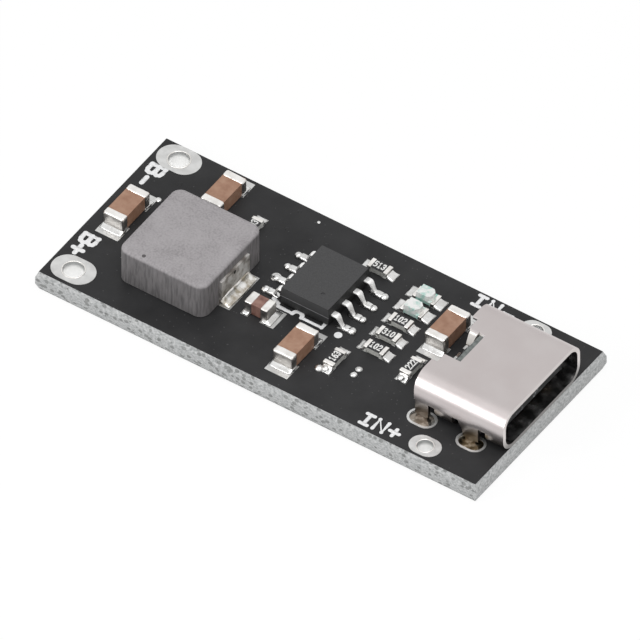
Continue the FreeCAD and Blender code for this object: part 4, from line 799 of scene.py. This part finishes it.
shape = bmesh.new()
for number, (low, high) in enumerate(solid_boxes("chip_lands")):
    walls = nearby(chip_walls, low, high, 0.05 * MM)
    if not walls:
        continue
    low, high = low.copy(), high.copy()
    low.z = high.z
    tall = walls[0][1].z - high.z
    climb = tall * 0.5
    if tall > TALL_CHIP:
        climb = tall * 0.13
        low.x, high.x = max(low.x, walls[0][0].x - TALL_MARGIN), min(high.x, walls[0][1].x + TALL_MARGIN)
        low.y, high.y = max(low.y, walls[0][0].y - TALL_MARGIN), min(high.y, walls[0][1].y + TALL_MARGIN)
    solder_pool(shape, low, high, walls, base=0.04 * MM, climb=climb, reach=0.16 * MM, seed=number)
keep_shape("chip_solder_pools", shape, FINISHES["solder"], ["chip_solder"])

# A lead's root inside the moulding, its flat length, its fall, and its foot, which runs on past the solid's.
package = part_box("ic_package")
LEAD_THICKNESS = 0.18 * MM
LEAD_ROOT, LEAD_FLAT, LEAD_FALL = 0.12 * MM, 0.3 * MM, 0.54 * MM
FOOT_LENGTH, FOOT_OVERHANG = 0.42 * MM, 0.25 * MM
LEAD_STEPS = 32


def gull_wing(shape, low, high):
    """One chip lead: broad at its knee, narrower down its leg, and flat at its foot, with a narrow tip."""
    side = 1 if low.x + high.x > package[0].x + package[1].x else -1
    root, tip = (package[1].x, high.x) if side > 0 else (package[0].x, low.x)
    span = abs(tip - root) + FOOT_OVERHANG
    top, foot = high.z - LEAD_THICKNESS / 2, low.z + LEAD_THICKNESS / 2
    stations = []
    for step in range(LEAD_STEPS + 1):
        out = -LEAD_ROOT + (span + LEAD_ROOT) * step / LEAD_STEPS
        fall = min(1.0, max(0.0, (out - LEAD_FLAT) / LEAD_FALL))
        stations.append((out, top + (foot - top) * fall * fall * (3 - 2 * fall)))
    rings = []
    for number, (out, z) in enumerate(stations):
        before, after = stations[max(0, number - 1)], stations[min(LEAD_STEPS, number + 1)]
        run = Vector((after[0] - before[0], after[1] - before[1])).normalized()
        along = out / span
        width = (high.y - low.y) * (1.25 - 0.36 * math.exp(-((along - 0.55) / 0.15) ** 2) - 0.15 * along)
        width *= 1 - 0.5 * max(0.0, along - 0.9) / 0.1
        ring = []
        for k in range(16):
            turn = 2 * math.pi * k / 16
            flat = abs(math.cos(turn)) ** 0.6 * math.copysign(width / 2, math.cos(turn))
            up = abs(math.sin(turn)) ** 0.8 * math.copysign(LEAD_THICKNESS / 2, math.sin(turn))
            ring.append(shape.verts.new((
                root + side * (out - run.y * up), (low.y + high.y) / 2 + flat, z + run.x * up)))
        rings.append(ring)
    for ring, following in zip(rings, rings[1:]):
        for k in range(16):
            shape.faces.new([ring[k - 1], ring[k], following[k], following[k - 1]])
    shape.faces.new(rings[0])
    shape.faces.new(rings[-1])


feet = []
shape = bmesh.new()
for low, high in solid_boxes("ic_leads_left") + solid_boxes("ic_leads_right"):
    gull_wing(shape, low, high)
    outer = low.x - FOOT_OVERHANG if low.x < package[0].x else high.x + FOOT_OVERHANG
    inner = outer + math.copysign(FOOT_LENGTH, -outer)
    feet.append((Vector((min(outer, inner), low.y, low.z)), Vector((max(outer, inner), high.y, low.z))))
keep_shape("gull_wing_leads", shape, FINISHES["tinned_lead_frame"],
           ["ic_leads_left", "ic_leads_right"])

# A land that no lead stands on, as below the moulding, has a flat skin of solder.
shape = bmesh.new()
for number, (low, high) in enumerate(solid_boxes("ic_lands")):
    walls = nearby(feet, low, high, 0.0)
    low, high = low.copy(), high.copy()
    low.z = BOARD_TOP
    if walls:
        solder_pool(shape, low, high, walls, base=0.1 * MM, climb=0.16 * MM, reach=0.16 * MM,
                    seed=40 + number, round_off=0.9)
    else:
        solder_pool(shape, low, high, [(low, high)], base=0.03 * MM, climb=0.0, reach=0.16 * MM,
                    seed=40 + number, round_off=0.0)
keep_shape("lead_solder_pools", shape, FINISHES["solder"], ["ic_solder", "ic_lands"])

clips = [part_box("inductor_clip_left"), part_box("inductor_clip_right")]
shape = bmesh.new()
for number, (low, high) in enumerate(solid_boxes("inductor_lands")):
    low, high = low.copy(), high.copy()
    low.z = high.z
    solder_pool(shape, low, high, nearby(clips, low, high, 0.0), base=0.07 * MM, climb=0.5 * MM,
                reach=0.22 * MM, seed=60 + number, cells=28)
keep_shape("inductor_solder_pools", shape, CLIP_SOLDER, ["inductor_solder"])

# Beads: at the leads' toes, on lands that carry nothing, and where solder has been spilt. Holes under the
# lacquer show as low domes.
toes, bare_lands = [], []
for low, high in solid_boxes("ic_lands"):
    if nearby(feet, low, high, 0.0):
        outer = high.x - 0.2 * MM if high.x > 0 else low.x + 0.2 * MM
        toes.append(Vector((outer, (low.y + high.y) / 2, high.z + 0.04 * MM)))
for low, high in solid_boxes("chip_lands"):
    if not nearby(chip_walls, low, high, 0.05 * MM):
        bare_lands.append(Vector(((low.x + high.x) / 2, (low.y + high.y) / 2, high.z)))
loose = bare_lands + [Vector(spot) * MM for spot in ((-14.6, 2.42, 1.6), (-13.9, 2.12, 1.6))]
lumps = [Vector(spot) * MM for spot in ((3.3, -4.28, 1.68), (2.92, -4.47, 1.65), (7.89, -2.17, 1.68))]
blob, via = [Vector((-4.18, 0.9, 1.62)) * MM], [Vector((-4.73, 6.67, 1.6)) * MM]
tented = [Vector((x, y, 1.59)) * MM for x, y in (
    (-6.94, 4.58), (-6.11, 5.01), (-4.25, 4.98), (-3.69, 6.02), (-6.35, 6.77), (-3.12, 5.26), (-14.26, 4.47),
    (4.24, -4.59))]
for name, points, radius, flat, spread, seed, slot in (
        ("toe_beads", toes, 0.29, 0.75, 0.1, 7, "solder"), ("small_beads", loose, 0.2, 0.5, 0.2, 3, "solder"),
        ("solder_lumps", lumps, 0.28, 0.8, 0.15, 5, "solder"),
        ("large_bead", blob, 0.4, 0.45, 0.02, 1, "solder"), ("via_bead", via, 0.12, 0.4, 0.02, 1, "solder"),
        ("tented_holes", tented, 0.15, 0.3, 0.25, 2, "board_mask")):
    sizes = {"Radius": radius * MM, "Flat": flat, "Spread": spread, "Seed": seed}
    made = grow(name, BEADS, points_mesh(name, points), sizes, FINISHES[slot])
    keep_piece(name, made, FINISHES[slot])

# The plated holes' lips: a thin ring round each bore, whose radius is in mm.
shape = bmesh.new()
for node_name, radius in (("battery_minus_pad", 0.73), ("battery_plus_pad", 0.73),
                          ("input_plus_pad", 0.55), ("input_minus_pad", 0.55)):
    low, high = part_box(node_name)
    centre, rings = (low + high) / 2, []
    for j in range(8):
        bend = 2 * math.pi * j / 8
        out, up = (radius + 0.05 + 0.045 * math.cos(bend)) * MM, high.z + 0.03 * MM * math.sin(bend)
        rings.append([shape.verts.new((centre.x + out * math.cos(k * math.pi / 24),
                                       centre.y + out * math.sin(k * math.pi / 24), up)) for k in range(48)])
    for j in range(8):
        for k in range(48):
            shape.faces.new([rings[j - 1][k - 1], rings[j - 1][k], rings[j][k], rings[j][k - 1]])
keep_shape("wire_hole_rims", shape, FINISHES["tinned_ends"])


# Room: floor, lamps, camera

def seen_rays(tree):
    """1 where the camera, a reflection or the resin shows the room, and 0 where it lights the object."""
    ray = add_node(tree, "ShaderNodeLightPath").outputs
    seen = add_node(tree, "ShaderNodeMath", {
        0: ray["Is Camera Ray"], 1: ray["Is Glossy Ray"]}, operation="MAXIMUM")
    return add_node(tree, "ShaderNodeMath", {0: seen, 1: ray["Is Transmission Ray"]}, operation="MAXIMUM")


# The floor looks white by its own light, and takes the object's shadow with the rest of its surface.
floor_material = bpy.data.materials.new("pale_floor")
floor_material.use_nodes = True
tree = floor_material.node_tree
tree.nodes.clear()
own_light = add_node(tree, "ShaderNodeMath", {0: seen_rays(tree), 1: 0.88}, operation="MULTIPLY")
dull = add_node(tree, "ShaderNodeBsdfDiffuse", {"Color": linear("#F4F4F4")})
white = add_node(tree, "ShaderNodeEmission", {"Color": (1, 1, 1, 1), "Strength": 1.03})
mixed = add_node(tree, "ShaderNodeMixShader", {0: own_light, 1: dull, 2: white})
add_node(tree, "ShaderNodeOutputMaterial", {"Surface": mixed})
floor_shape = bmesh.new()
bmesh.ops.create_grid(floor_shape, x_segments=1, y_segments=1, size=1.5)
bmesh.ops.translate(floor_shape, verts=floor_shape.verts, vec=(0, 0, -0.01 * MM))
floor_mesh = bpy.data.meshes.new("floor")
floor_shape.to_mesh(floor_mesh)
floor_shape.free()
floor_mesh.materials.append(floor_material)
floor = bpy.data.objects.new("floor", floor_mesh)
bpy.context.scene.collection.objects.link(floor)

world = bpy.data.worlds.new("soft white room")
world.use_nodes = True
bpy.context.scene.world = world
tree = world.node_tree
tree.nodes.clear()
strength = add_node(tree, "ShaderNodeMapRange", {"Value": seen_rays(tree), "To Min": 0.45, "To Max": 0.85})
back = add_node(tree, "ShaderNodeBackground", {"Color": (1, 1, 1, 1), "Strength": strength})
add_node(tree, "ShaderNodeOutputWorld", {"Surface": back})


def soft_lamp(name, place, size, power):
    """A square studio lamp that points at the middle of the board."""
    lamp = bpy.data.lights.new(name, "AREA")
    lamp.shape, lamp.size, lamp.energy = "SQUARE", size, power
    holder = bpy.data.objects.new(name, lamp)
    holder.location = place
    holder.rotation_euler = (-Vector(place)).to_track_quat("-Z", "Y").to_euler()
    bpy.context.scene.collection.objects.link(holder)


soft_lamp("over", (0.07, -0.05, 0.3), 0.2, 0.4)
soft_lamp("front_left", (-0.115, -0.205, 0.174), 0.09, 0.15)

AZIMUTH, ELEVATION = math.radians(34.39), math.radians(45.50)
away = Vector((math.sin(AZIMUTH) * math.cos(ELEVATION), -math.cos(AZIMUTH) * math.cos(ELEVATION),
               math.sin(ELEVATION)))
camera_data = bpy.data.cameras.new("camera")
camera_data.type = "ORTHO"
camera_data.ortho_scale = 42.04 * MM
camera_data.clip_start, camera_data.clip_end = 0.01, 5.0
camera = bpy.data.objects.new("camera", camera_data)
camera.location = Vector((-0.476, 0.592, 0.0)) * MM + away * 0.25
camera.rotation_euler = (-away).to_track_quat("-Z", "Y").to_euler()
bpy.context.scene.collection.objects.link(camera)
bpy.context.scene.camera = camera
bpy.context.scene.view_settings.view_transform = "Standard"
